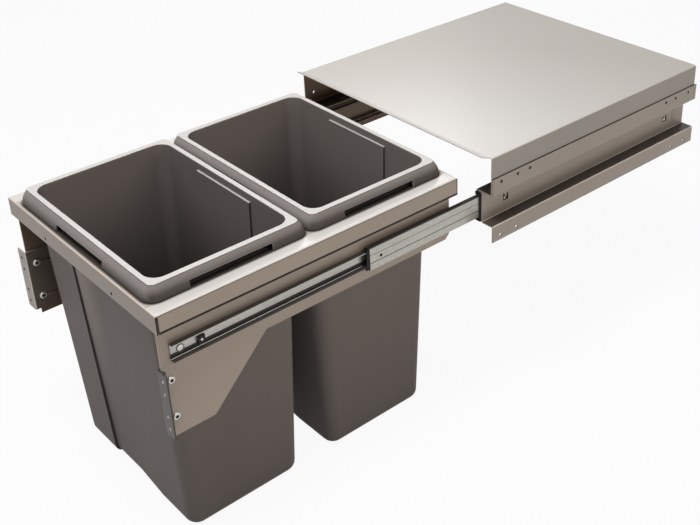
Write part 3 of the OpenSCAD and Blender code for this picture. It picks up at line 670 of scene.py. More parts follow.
def groups(items, near):
    """Items in groups, each held together by its neighbours."""
    left = dict.fromkeys(items)
    found = []
    while left:
        group = [left.popitem()[0]]
        for item in group:
            for other in near(item):
                if other in left:
                    del left[other]
                    group.append(other)
        found.append(group)
    return found


def break_edges(bm, width, angle):
    """Rounds the sharp edges. The new faces are marked pale, as wear and painted highlight, and take the
    darkest painted shade beside them.
    """
    edge, seam = marks(bm, "edge", "seam")
    sharp = [e for e in bm.edges if e.is_manifold and e.calc_face_angle() > angle]
    made = set(bmesh.ops.bevel(
        bm, geom=sharp, offset=width, offset_type="OFFSET", segments=size_settings().edge_steps,
        profile=ROUND, affect="EDGES", material=-1, clamp_overlap=True, loop_slide=True,
    )["faces"])
    for face in made:
        beside = (f for e in face.edges for f in e.link_faces if f not in made)
        face[edge] = 1.0
        face[seam] = max((f[seam] for f in beside), default=0.0)


def merged(node):
    """A merged copy of a CAD node, with its flat faces whole."""
    bm = bmesh.new()
    bm.from_mesh(frame["nodes"][node].data)
    bmesh.ops.remove_doubles(bm, verts=bm.verts, dist=WELD)
    bmesh.ops.dissolve_limit(
        bm, angle_limit=FLAT, use_dissolve_boundaries=False, verts=bm.verts, edges=bm.edges,
        delimit={"NORMAL"},
    )
    return bm


def sheet_copy(node, name, width, material, dress=None):
    """A piece with broken edges, from a copy of its CAD node that is dressed first."""
    bm = merged(node)
    if dress is not None:
        dress(bm)
    break_edges(bm, width, SHARP_SHEET)
    return finish_piece(name, bm, material, body_of(node), [node])


def cut(bm, faces, axis, place):
    """Cuts some faces across an axis, at a place along it."""
    verts = dict.fromkeys(v for f in faces for v in f.verts)
    edges = dict.fromkeys(e for f in faces for e in f.edges)
    normal = Vector()
    normal[axis] = 1.0
    bmesh.ops.bisect_plane(
        bm, geom=[*verts, *edges, *faces], dist=TINY, plane_co=normal * place, plane_no=normal
    )


def hole_walls(bm):
    """The small faces round punched holes."""
    least, most = HOLE_TURN
    walls = {}
    for edge in bm.edges:
        if edge.is_manifold and least < edge.calc_face_angle() < most:
            if all(f.calc_area() < HOLE_FACET for f in edge.link_faces):
                walls.update(dict.fromkeys(edge.link_faces))
    return walls


def hole_middles(node):
    """The middles of a node's punched holes."""
    bm = merged(node)
    rings = groups(hole_walls(bm), lambda face: [f for e in face.edges for f in e.link_faces])
    middles = [sum((f.calc_center_median() for f in ring), Vector()) / len(ring) for ring in rings]
    bm.free()
    return middles


def solid_boxes(node):
    """The boxes of a node's separate solids."""
    bm = merged(node)
    solids = groups(bm.verts, lambda vert: [e.other_vert(vert) for e in vert.link_edges])
    boxes = [box_of(solid) for solid in solids]
    bm.free()
    return boxes


# Painted shade and highlights on the sheet pieces and the slide members


def punched(bm):
    """Marks painted shade on the walls of holes and a painted highlight along the middle of each bend."""
    tone = mark_settings()
    edge, seam = marks(bm, "edge", "seam")
    for face in hole_walls(bm):
        face[seam] = tone.hole
    strip = size_settings().bend_strip
    for face in bm.faces:
        longest = max(e.calc_length() for e in face.edges)
        slanted = max(abs(n) for n in face.normal) < STRAIGHT
        if slanted and longest > BEND_RUN * strip and face.calc_area() / longest < strip:
            face[edge] = tone.bend


def shaded_inside(bm):
    """Marks the holes and bends, and painted brown shade on the faces that look towards the object's
    middle.
    """
    punched(bm)
    stain = mark(bm, "stain")
    for face in bm.faces:
        if looks_along(face, X) and face.normal.x * face.calc_center_median().x < 0:
            face[stain] = 1.0


def lid_lips(bm):
    """Marks a painted highlight on the lid's top, and painted shade on its lips along the rails' flanges
    and behind their upper holes.
    """
    shaded_inside(bm)
    sizes, tone = size_settings(), mark_settings()
    seam, polish = marks(bm, "seam", "polish")
    for face in bm.faces:
        if face.normal.z > UPWARD:
            face[polish] = tone.lid_top
    low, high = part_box("lid")
    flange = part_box("right_rail")[1].z
    line = flange + sizes.lid_line
    half = sizes.lid_patch

    def lips(side_x):
        outer = [f for f in bm.faces if looks_along(f, X) and abs(f.verts[0].co.x) > high.x - TINY]
        return [f for f in outer if f.verts[0].co.x * side_x > 0]

    for side_x in (low.x, high.x):
        for level in (flange, line):
            cut(bm, lips(side_x), Z, level)
        for face in lips(side_x):
            if flange < face.calc_center_median().z < line:
                face[seam] = tone.lid_line
    for hole in [*hole_middles("left_rail"), *hole_middles("right_rail")]:
        if hole.z < low.z:
            continue
        for shift in (-half, half):
            for axis in (Y, Z):
                cut(bm, lips(hole.x), axis, hole[axis] + shift)
        for face in bm.faces:
            off = face.calc_center_median() - hole
            if abs(off.x) < sizes.lid_reach and max(abs(off.y), abs(off.z)) < half:
                face[seam] = tone.lid_patch


def carriage_shade_and_sheen(bm):
    """Marks painted shade on the carriage: dark lines under the side lips and up their front corners,
    shade on the front lip and on the lips' rounds, and a painted highlight on the strips of its top plate.
    """
    punched(bm)
    sizes, tone = size_settings(), mark_settings()
    edge, seam, polish = marks(bm, "edge", "seam", "polish")
    low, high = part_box("carriage_frame")
    level = low.z + sizes.seam_width
    front = low.y + sizes.front_bend + sizes.corner_seam
    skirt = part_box("front_bin")[1].x

    def side_lips():
        return [f for f in bm.faces if looks_along(f, X) and abs(f.verts[0].co.x) > high.x - NEAR]

    for x in (-skirt, skirt):
        cut(bm, [f for f in bm.faces if f.normal.z > SLOPED], X, x)
    cut(bm, side_lips(), Z, level)
    cut(bm, side_lips(), Y, front)
    # Painted shadow under the side lips, and a dark line up their front corners
    for face in side_lips():
        middle = face.calc_center_median()
        if middle.z < level or middle.y < front:
            face[seam] = 1.0
    for face in bm.faces:
        middle = face.calc_center_median()
        # Painted highlight on the top plate, strongest on the strips beside the bins
        if face.normal.z > UPWARD and middle.z > high.z - sizes.bend_depth:
            face[polish] = tone.side_strip if abs(middle.x) > skirt else tone.top_plate
        # Painted shade on the front lip
        if face.normal.y < -STRAIGHT and middle.y < low.y + NEAR:
            face[seam] = max(face[seam], tone.front_lip)
        # Painted shade under the side lips and on their rounds, with no bright bend
        if abs(middle.x) > high.x - sizes.bend_depth:
            face[edge] = 0.0
            if face.normal.z < -STRAIGHT:
                face[seam] = 1.0
            elif UPRIGHT < face.normal.z < SLOPED:
                face[seam] = tone.lip_round


def plate_shade(bm):
    """Marks painted brown shade on the inner face of a side plate, which lies in the shade of the
    carriage.
    """
    shaded_inside(bm)
    tone = mark_settings()
    seam, stain = marks(bm, "seam", "stain")
    for face in bm.faces:
        if face[stain] > 0:
            face[seam], face[stain] = tone.plate, tone.plate_brown


def rail_shelves(bm):
    """Marks painted shade on the shelves of a rail, which lie in the shade of the lid, and on its lanced
    hooks, whose tongues get a painted highlight.
    """
    shaded_inside(bm)
    sizes, tone = size_settings(), mark_settings()
    edge, seam = marks(bm, "edge", "seam")
    side = side_of(bm)
    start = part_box(f"{side}_rail")[0].y + sizes.hook_start
    low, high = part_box(f"{side}_outer_slide")
    level = (low.z + high.z) / 2
    half = sizes.hook_window / 2 + NEAR
    for face in bm.faces:
        middle = face.calc_center_median()
        if face.normal.z > STRAIGHT:
            face[seam] = tone.upper_shelf if middle.z > level else tone.lower_shelf
        for y in (start, start + sizes.hook_pitch):
            if max(abs(middle.y - y), abs(middle.z - level)) < half:
                outer = face.normal.x * middle.x > 0 and looks_along(face, X)
                face[edge], face[seam] = (1.0, 0.0) if outer else (0.0, tone.hook)


def bracket_legs(bm):
    """Marks painted brown shade on the leg of a door bracket, which lies in the shade of the bins, painted
    shade on its flange, and pale hole walls on the right flange as a painted highlight.
    """
    punched(bm)
    tone = mark_settings()
    edge, seam, stain = marks(bm, "edge", "seam", "stain")
    right = side_of(bm) == "right"
    flange = tone.right_flange if right else tone.left_flange
    front = box_of(bm.verts)[0].y + size_settings().flange_depth
    walls = hole_walls(bm)
    for face in bm.faces:
        if right and face.calc_center_median().y < front:
            face[edge], face[seam] = (1.0, 0.0) if face in walls else (0.0, flange)
        elif right and face.normal.z > STRAIGHT:
            face[seam] = flange
        elif looks_along(face, X):
            face[seam] = max(face[seam], tone.leg)
            face[stain] = tone.leg_brown
        elif looks_along(face, Y):
            face[seam] = max(face[seam], flange)


def shaded_web(bm):
    """Marks painted shade on the outer face of a cabinet member's web, which shows through the windows of
    a rail.
    """
    punched(bm)
    seam = mark(bm, "seam")
    outer = max(abs(v.co.x) for v in bm.verts) - size_settings().web_skin
    for face in bm.faces:
        if looks_along(face, X) and abs(face.calc_center_median().x) > outer:
            face[seam] = 1.0


def middle_grooves(bm):
    """Marks painted shade in the pressed grooves and on the upper edge of a middle member, and painted
    brown shade inside it.
    """
    punched(bm)
    sizes, tone = size_settings(), mark_settings()
    seam, stain = marks(bm, "seam", "stain")
    low, high = box_of(bm.verts)
    outer = max(abs(low.x), abs(high.x))
    for face in bm.faces:
        middle = face.calc_center_median()
        if looks_along(face, X) and NEAR < outer - abs(middle.x) < sizes.groove_depth:
            face[seam] = 1.0 if middle.z < (low.z + high.z) / 2 else tone.upper_groove
        elif face.normal.z > LEANING and middle.z > high.z - SKIN:
            face[seam] = tone.member_edge
        elif face.normal.x * middle.x < 0:
            face[seam], face[stain] = tone.member_inside, 1.0


def inner_shade(bm):
    """Marks a carriage member's shade: low on its web, inside the middle member, on its ends."""
    sizes, tone = size_settings(), mark_settings()
    seam = mark(bm, "seam")
    low, high = box_of(bm.verts)
    level = (low.z + high.z) / 2 - sizes.web_drop
    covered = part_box(f"{side_of(bm)}_middle_slide")[0].y

    def outer_faces():
        return [f for f in bm.faces if looks_along(f, X) and f.normal.x * low.x > 0]

    cut(bm, outer_faces(), Z, level)
    cut(bm, outer_faces(), Y, covered)
    for face in outer_faces():
        middle = face.calc_center_median()
        if middle.z < level or middle.y > covered:
            face[seam] = 1.0
    for face in bm.faces:
        height = face.calc_center_median().z
        lower = face.normal.z > STRAIGHT and height < level
        upper = face.normal.z > LEANING and height > high.z - SKIN
        if looks_along(face, Y):
            face[seam] = tone.member_end
        elif lower or upper:
            face[seam] = tone.track


# Bins

Ring = namedtuple("Ring", "half_x half_y corner z recess skirt")


def quarter(steps):
    """The angles of a quarter turn, in even steps."""
    return [math.radians(90 * n / steps) for n in range(steps + 1)]


def ring_edges(bm, ring, middle, steps):
    """The edges of a rounded rectangle, made by rounding the corners of one face."""
    old = set(bm.edges)
    corners = bmesh.ops.create_grid(bm, x_segments=1, y_segments=1, size=1.0)["verts"]
    bmesh.ops.scale(bm, vec=(ring.half_x, ring.half_y, 1.0), verts=corners)
    bmesh.ops.translate(bm, vec=(0.0, middle, ring.z), verts=corners)
    bmesh.ops.bevel(
        bm, geom=corners, offset=ring.corner, offset_type="OFFSET", segments=steps, profile=ROUND,
        affect="VERTICES", material=-1, clamp_overlap=False,
    )
    edges = [e for e in bm.edges if e not in old]
    faces = {f for e in edges for f in e.link_faces}
    bmesh.ops.delete(bm, geom=list(faces), context="FACES_ONLY")
    return edges


class BinShape:
    """One bin: rings from the floor up the outside, over the rim and down the inside."""

    LOWER_RINGS = (0.0, mm(3), mm(6))
    UPPER_RING = mm(13)
    INNER_SKIRT, OUTER_SKIRT = -1.0, 1.0
    ON_SKIRT = 0.5
    RIM_SHARE = 0.4
    FLANK_GAIN = 1.4

    def __init__(self, sizes, tone, middle):
        self.s = sizes
        self.tone = tone
        self.middle = middle
        self.seat = sizes.bin_height - sizes.rim_height

    def body(self, z, inset):
        """A ring of the tapered body."""
        s = self.s
        t = (z - s.floor_edge) / (s.bin_height - s.floor_edge)

        def between(floor, top):
            return floor + (top - floor) * t

        return Ring(
            half_x=between(s.floor_width, s.bin_width) / 2 - inset,
            half_y=between(s.floor_depth, s.bin_depth) / 2 - inset,
            corner=between(s.floor_corner, s.bin_corner) - inset,
            z=z,
            recess=between(s.recess_floor, s.recess_top),
            skirt=0.0,
        )

    def skirt(self, z, inset, skirt):
        """A ring of the skirt, or of the rim above it."""
        s = self.s
        return Ring(
            half_x=s.bin_width / 2 + s.skirt_side - inset,
            half_y=s.bin_depth / 2 + s.skirt_front - inset,
            corner=max(s.least_corner, s.skirt_corner - inset),
            z=z,
            recess=0.0,
            skirt=skirt,
        )

    def inside_rim(self, z, inset):
        """A ring inside the rim, above the recesses."""
        return self.body(z, self.s.bin_wall + inset)._replace(recess=0.0)

    def floor_round(self, inset):
        """Rings of the floor's rounded edge, from the floor up."""
        s = self.s
        base = self.body(s.floor_edge, inset)
        edge = s.floor_edge - inset
        rings = []
        for a in quarter(s.floor_steps):
            pull = edge * (1 - math.sin(a))
            rings.append(base._replace(
                half_x=base.half_x - pull,
                half_y=base.half_y - pull,
                corner=max(s.least_corner, base.corner - pull),
                z=s.floor_edge - edge * math.cos(a),
            ))
        return rings

    def rings(self):
        """All rings, from the floor's underside round to its upper side."""
        s = self.s
        top, wall, flare, turn = s.bin_height, s.bin_wall, s.skirt_flare, s.rim_round
        run = s.rim_height - turn
        bead = s.grip_height + s.grip_bead
        heights = (*self.LOWER_RINGS, s.grip_height, bead, self.UPPER_RING, run)
        steps = [(self.seat + up, flare * (up / run) ** 2) for up in heights]
        root = top - wall - s.skirt_root
        ledge = top - s.ledge_drop
        found = self.floor_round(0.0)
        found += [self.body(z, 0.0) for z in (self.seat - s.skirt_gap, top - wall - s.skirt_gap)]
        found += [self.skirt(min(z, root), wall + pull, self.INNER_SKIRT) for z, pull in reversed(steps)]
        found += [self.skirt(z, pull, self.OUTER_SKIRT) for z, pull in steps]
        for a in quarter(s.rim_steps)[1:]:
            found.append(self.skirt(top - turn * (1 - math.sin(a)), flare + turn * (1 - math.cos(a)), 0.0))
        for a in quarter(s.rim_steps):
            pull = s.rim_lip - turn * (1 - math.sin(a))
            found.append(self.inside_rim(top - turn * (1 - math.cos(a)), pull))
        found.append(self.inside_rim(ledge + s.ledge_slope, s.rim_lip))
        found.append(self.body(ledge, wall + s.rim_lip))
        found += reversed(self.floor_round(wall))
        return found

    def build(self):
        """The bin as a closed bmesh with its marks."""
        s = self.s
        bm = bmesh.new()
        recess = bm.verts.layers.float.new("recess")
        skirt = bm.verts.layers.float.new("skirt")
        loops = []
        for ring in self.rings():
            edges = ring_edges(bm, ring, self.middle, s.corner_steps)
            for vert in {v for e in edges for v in e.verts}:
                vert[recess] = ring.recess
                vert[skirt] = ring.skirt
            loops.append(edges)
        for low, high in zip(loops, loops[1:]):
            bmesh.ops.bridge_loops(bm, edges=low + high)
        for edges in (loops[0], loops[-1]):
            bmesh.ops.contextual_create(bm, geom=edges)
        self.press_recesses(bm, recess)
        self.cut_grips(bm, skirt)
        bmesh.ops.recalc_face_normals(bm, faces=bm.faces)
        self.mark_faces(bm, skirt)
        break_edges(bm, s.bin_break, SHARP_BIN)
        return bm

    def press_recesses(self, bm, recess):
        """Pushes the middle of the front and back walls in, below the ledge, and marks painted shade on
        the recesses' sides.
        """
        s = self.s
        inner = s.recess_width / 2
        outer = inner + s.recess_side
        for x in (-outer, -inner, 0, inner, outer):
            cut(bm, bm.faces[:], X, x)
        for side in (-1, 1):
            for vert in bm.verts:
                off = (vert.co.y - self.middle) * side
                if abs(vert.co.x) < inner + WELD and off > s.floor_depth / 4:
                    fade = max(0.0, -side * vert.co.x / inner) * max(0.0, 1 - vert.co.z / self.seat)
                    vert.co.y -= side * vert[recess] * (1 - fade)
        seam = mark(bm, "seam")
        for face in bm.faces:
            across = abs(face.calc_center_median().x)
            if inner < across < outer and all(v[recess] > 0 for v in face.verts):
                face[seam] = self.tone.recess_end

    def cut_grips(self, bm, skirt):
        """Opens the four grip cut-outs in the skirt and closes their cut edges."""
        s = self.s
        top = self.seat + s.grip_height
        half = s.grip_width / 2
        bead = half + s.grip_bead

        def skirt_faces():
            return [f for f in bm.faces if all(abs(v[skirt]) > self.ON_SKIRT for v in f.verts)]

        for off in (half, -half, bead, -bead):
            cut(bm, skirt_faces(), X, off)
            cut(bm, skirt_faces(), Y, self.middle + off)
        gone = []
        for face in skirt_faces():
            centre = face.calc_center_median()
            if centre.z < top and min(abs(centre.x), abs(centre.y - self.middle)) < half:
                gone.append(face)
        bmesh.ops.delete(bm, geom=gone, context="FACES")
        rim = [e for e in bm.edges if e.is_boundary]
        for axis, way in ((X, 1), (X, -1), (Y, 1), (Y, -1)):
            chain = []
            for edge in rim:
                one, other = edge.verts
                place = (one.co + other.co) / 2 - Vector((0, self.middle, 0))
                same_face = one[skirt] * other[skirt] > self.ON_SKIRT
                if same_face and place[axis] * way > abs(place[1 - axis]):
                    chain.append(edge)
            if not chain:
                raise RuntimeError("a grip cut-out has no edge to close")
            bmesh.ops.bridge_loops(bm, edges=chain)

    def mark_faces(self, bm, skirt):
        """Marks painted highlights on the rim, the ledges and the grip beads, the skirt with its flanks,
        painted shade inside the bin and just under the skirt, and a painted highlight on the recess's
        front wall.
        """
        s, tone = self.s, self.tone
        rim, outside, flank = marks(bm, "rim", "skirt", "flank")
        inside, seam, pressed = marks(bm, "inside", "seam", "pressed")
        # Faces above this height get the painted rim highlight
        polished = s.bin_height - self.RIM_SHARE * s.rim_round
        ledge = s.bin_height - s.ledge_drop + s.ledge_slope / 2
        bead_half = s.grip_width / 2 + s.grip_bead
        bead_top = self.seat + s.grip_height + s.grip_bead
        for face in bm.faces:
            middle = face.calc_center_median()
            out = Vector((middle.x, middle.y - self.middle, 0.0))
            in_recess = abs(middle.x) < s.recess_width / 2
            on_ledge = abs(middle.z - ledge) < s.ledge_slope and face.normal.z > LEANING
            if all(v.co.z > polished for v in face.verts):
                face[rim] = 1.0
            elif on_ledge and in_recess:
                face[rim] = tone.ledge
            elif any(v[skirt] > self.ON_SKIRT for v in face.verts):
                bead = min(abs(out.x), abs(out.y)) < bead_half and middle.z < bead_top
                face[outside] = 1.0
                face[rim] = tone.bead if bead else 0.0
                face[flank] = min(1.0, self.FLANK_GAIN * abs(face.normal.x))
            elif face.normal.dot(out) <= 0:
                face[inside] = 1.0
            elif middle.z > self.seat - s.skirt_gap:
                face[seam] = tone.under_skirt
            elif face.normal.z > SLOPED:
                face[inside] = 1.0
            elif face.normal.y < -STRAIGHT and in_recess:
                face[pressed] = 1.0


# Turned pieces


def dome(radius, flat, low, high):
    """Profile points of a domed head, from its side to its flat top."""
    rise, run = high - low, radius - flat
    turns = quarter(size_settings().dome_steps)
    return [(flat + run * math.cos(a), low + rise * math.sin(a)) for a in turns]


def spun(points, steps, shaded=None):
    """A turned solid about Z from a half profile of distance and height, marked where it is shaded."""
    bm = bmesh.new()
    verts = [bm.verts.new((r, 0.0, h)) for r, h in points]
    edges = [bm.edges.new(pair) for pair in zip(verts, verts[1:])]
    bmesh.ops.spin(
        bm, geom=[*verts, *edges], cent=(0, 0, 0), axis=(0, 0, 1), angle=math.tau, steps=steps,
        use_merge=True, use_duplicate=False,
    )
    bmesh.ops.remove_doubles(bm, verts=bm.verts, dist=TINY)
    bmesh.ops.recalc_face_normals(bm, faces=bm.faces)
    seam = mark(bm, "seam")
    for face in bm.faces:
        middle = face.calc_center_median()
        if shaded is not None and shaded(math.hypot(middle.x, middle.y), middle.z):
            face[seam] = mark_settings().turned
    return bm


def stood(bm, foot, low, high, way):
    """Stands a turned solid on a foot along X, in the middle of a box, to one way or the other."""
    turn = Vector((0, 0, 1)).rotation_difference(Vector((way, 0, 0))).to_matrix().to_4x4()
    place = Matrix.Translation((foot, (low.y + high.y) / 2, (low.z + high.z) / 2))
    bmesh.ops.transform(bm, matrix=place @ turn, verts=bm.verts)
    return bm


def screw(low, high):
    """A clamp screw with a domed head towards +X and a hexagon socket."""
    sizes = size_settings()
    reach, radius = high.x - low.x, (high.y - low.y) / 2
    shank, socket, flat = 0.55 * radius, 0.5 * radius, 0.68 * radius
    head, chamfer = sizes.screw_head, sizes.screw_chamfer
    under, bend, bottom = reach - head, reach - 0.7 * head, reach - 0.6 * head
    points = [(0, 0), (shank - chamfer, 0), (shank, chamfer), (shank, under), (radius, under)]
    points += dome(radius, flat, bend, reach)
    points += [(socket, reach), (socket, bottom), (0, bottom)]
    # Painted shade in the hexagon socket
    bm = spun(points, sizes.spin_steps, lambda r, h: h > under and r < (1 + SLACK) * socket)
    for vert in bm.verts:
        across = math.hypot(vert.co.x, vert.co.y)
        if vert.co.z > under and abs(across - socket) < SLACK * socket:
            turn = math.atan2(vert.co.y, vert.co.x) % SIXTH - SIXTH / 2
            pull = math.cos(SIXTH / 2) / math.cos(turn)
            bmesh.ops.scale(bm, vec=(pull, pull, 1.0), verts=[vert])
    return stood(bm, low.x, low, high, 1)


def rivet(low, high):
    """A slide rivet: a domed head outside with painted shade in the groove round it, a flat tail inside.
    """
    sizes = size_settings()
    reach, radius = high.x - low.x, RIVET_GAIN * (high.y - low.y) / 2
    shank, flange, collar, crown = 0.4 * radius, 0.85 * radius, 0.8 * radius, 0.78 * radius
    tail, chamfer = sizes.rivet_tail, sizes.rivet_chamfer
    under, groove = reach - sizes.rivet_head, reach - 0.6 * sizes.rivet_head
    points = [(0, 0), (flange - chamfer, 0), (flange, chamfer), (flange, tail), (shank, tail)]
    points += [(shank, under), (radius, under), (radius, groove), (collar, groove)]
    points += dome(crown, 0, groove, reach)
    edge = (collar + crown) / 2
    bm = spun(points, sizes.spin_steps, lambda r, h: h > under and r > edge)
    way = 1 if low.x > 0 else -1
    return stood(bm, low.x if way > 0 else high.x, low, high, way)


def joined(shapes):
    """Several closed shapes in one bmesh."""
    whole = bmesh.new()
    for bm in shapes:
        mesh = bpy.data.meshes.new("shape")
        bm.to_mesh(mesh)
        bm.free()
        whole.from_mesh(mesh)
        bpy.data.meshes.remove(mesh)
    return whole


# Operators


class BINFRAME_OT_sheets(bpy.types.Operator):
    """Lid, rails, carriage and brackets with broken edges and satin lacquer"""

    bl_idname = "bin_frame.sheets"
    bl_label = "Sheet pieces"

    def execute(self, context):
        finish = finish_settings()
        width, gloss = size_settings().edge_break, finish.paint_gloss
        lid = satin_paint("pale_satin_lacquer", finish.lid, finish, gloss, sheen_spread=lid_sheen)
        rail = satin_paint("rail_satin_lacquer", finish.rail, finish, gloss)
        top = satin_paint("top_satin_lacquer", finish.carriage, finish, gloss, shade=under_skirts)
        plate = satin_paint("plate_satin_lacquer", finish.carriage, finish, gloss)
        bracket = satin_paint("bracket_satin_lacquer", finish.bracket, finish, gloss)
        sheet_copy("lid", "lid_sheet", width, lid, lid_lips)
        sheet_copy("carriage_frame", "carriage_top_sheet", width, top, carriage_shade_and_sheen)
        for side in SIDES:
            for node, paint, slot, dress in (
                ("rail", rail, "rail_paint", rail_shelves),
                ("side_plate", plate, "carriage_paint", plate_shade),
                ("door_bracket", bracket, "bracket_paint", bracket_legs),
            ):
                sheet_copy(f"{side}_{node}", f"{side}_{node}_sheet", width, paint, dress)
        return {"FINISHED"}


class BINFRAME_OT_slides(bpy.types.Operator):
    """The three members of each slide in galvanised strip, the cages and the balls"""

    bl_idname = "bin_frame.slides"
    bl_label = "Slides"

    def execute(self, context):
        finish = finish_settings()
        width = size_settings().roll_break
        zinc = zinc_sheet("galvanised_strip", finish.zinc, finish, finish.zinc_rough)
        brown = satin_paint("cabinet_member_coat", finish.member, finish, finish.member_gloss)
        # The cages' dark colour is partly painted shade inside the members
        cage = zinc_sheet("cage_strip", finish.cage, finish, finish.cage_rough)
        ball = zinc_sheet("ball_steel", finish.bright_zinc, finish, finish.ball_rough)
        for side in SIDES:
            for name, coat, dress in (
                ("outer", brown, shaded_web),
                ("middle", zinc, middle_grooves),
                ("inner", zinc, inner_shade),
            ):
                piece = f"{side}_{name}_member"
                sheet_copy(f"{side}_{name}_slide", piece, width, coat, dress)
            for name in ("outer", "inner"):
                self.coat(f"{side}_{name}_cage", cage)
                self.coat(f"{side}_{name}_balls", ball)
        return {"FINISHED"}

    @staticmethod
    def coat(node, material):
        """Gives a CAD node that shows as it is its finish."""
        slots = frame["nodes"][node].data.materials
        slots.clear()
        slots.append(material)


class BINFRAME_OT_mouldings(bpy.types.Operator):
    """Black guides, bumpers, catches and stops of the slides"""

    bl_idname = "bin_frame.mouldings"
    bl_label = "Black mouldings"

    def execute(self, context):
        finish, sizes = finish_settings(), size_settings()
        width = sizes.moulding_break
        black = black_plastic("black_moulding", finish.black, finish, finish.black_rough)
        rubber = black_plastic("stop_rubber", finish.black, finish, finish.rubber_rough)
        zinc = zinc_sheet("pin_zinc", finish.bright_zinc, finish, finish.pin_rough)
        for side in SIDES:
            for name, dress in (("front_guide", None), ("middle_bumper", self.lip), ("catch", None)):
                node = f"{side}_{name}"
                sheet_copy(node, f"{node}_moulding", width, black, dress)
            node = f"{side}_rear_stop"
            sheet_copy(node, f"{node}_block", sizes.rubber_break, rubber)
            self.pin(f"{side}_catch", zinc)
        return {"FINISHED"}

    @staticmethod
    def lip(bm):
        """Draws the front of a bumper out of the middle member's mouth."""
        front = box_of(bm.verts)[0].y
        ahead = [v for v in bm.verts if v.co.y < front + NEAR]
        bmesh.ops.translate(bm, vec=(0, -size_settings().bumper_lip, 0), verts=ahead)

    @staticmethod
    def pin(catch, material):
        """The grey pin head in the face of a catch."""
        sizes = size_settings()
        low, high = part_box(catch)
        way = 1 if low.x > 0 else -1
        radius, rise, depth = sizes.pin_radius, sizes.pin_rise, sizes.pin_depth
        points = [(0, -depth), (radius, -depth), *dome(radius, radius / 2, 0, rise), (0, rise)]
        bm = stood(spun(points, sizes.pin_steps), high.x if way > 0 else low.x, low, high, way)
        finish_piece(f"{catch}_pin", bm, material, body_of(catch), [])


class BINFRAME_OT_fasteners(bpy.types.Operator):
    """Clamp screws, nuts and slide rivets"""

    bl_idname = "bin_frame.fasteners"
    bl_label = "Fasteners"

    def execute(self, context):
        finish = finish_settings()
        width = size_settings().nut_break
        zinc = zinc_sheet("bright_zinc", finish.bright_zinc, finish, finish.bright_rough)
        for side in SIDES:
            sheet_copy(f"{side}_clamp_nuts", f"{side}_clamp_nut_set", width, zinc)
            for name, shape in (("clamp_screw", screw), ("slide_rivet", rivet)):
                node = f"{side}_{name}s"
                bm = joined([shape(*box) for box in solid_boxes(node)])
                finish_piece(f"{side}_{name}_set", bm, zinc, body_of(node), [node])
        return {"FINISHED"}


class BINFRAME_OT_bins(bpy.types.Operator):
    """Both bins: drawn walls, flared skirts, recesses and grip cut-outs"""

    bl_idname = "bin_frame.bins"
    bl_label = "Bins"

    def execute(self, context):
        finish, sizes, tone = finish_settings(), size_settings(), mark_settings()
        plastic = moulded_plastic("bin_plastic", finish.plastic, finish, sizes, tone)
        for node in BINS:
            low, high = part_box(node)
            bm = BinShape(sizes, tone, (low.y + high.y) / 2).build()
            finish_piece(f"{node}_shell", bm, plastic, body_of(node), [node])
        return {"FINISHED"}


Lamp = namedtuple("Lamp", "name place size colour")


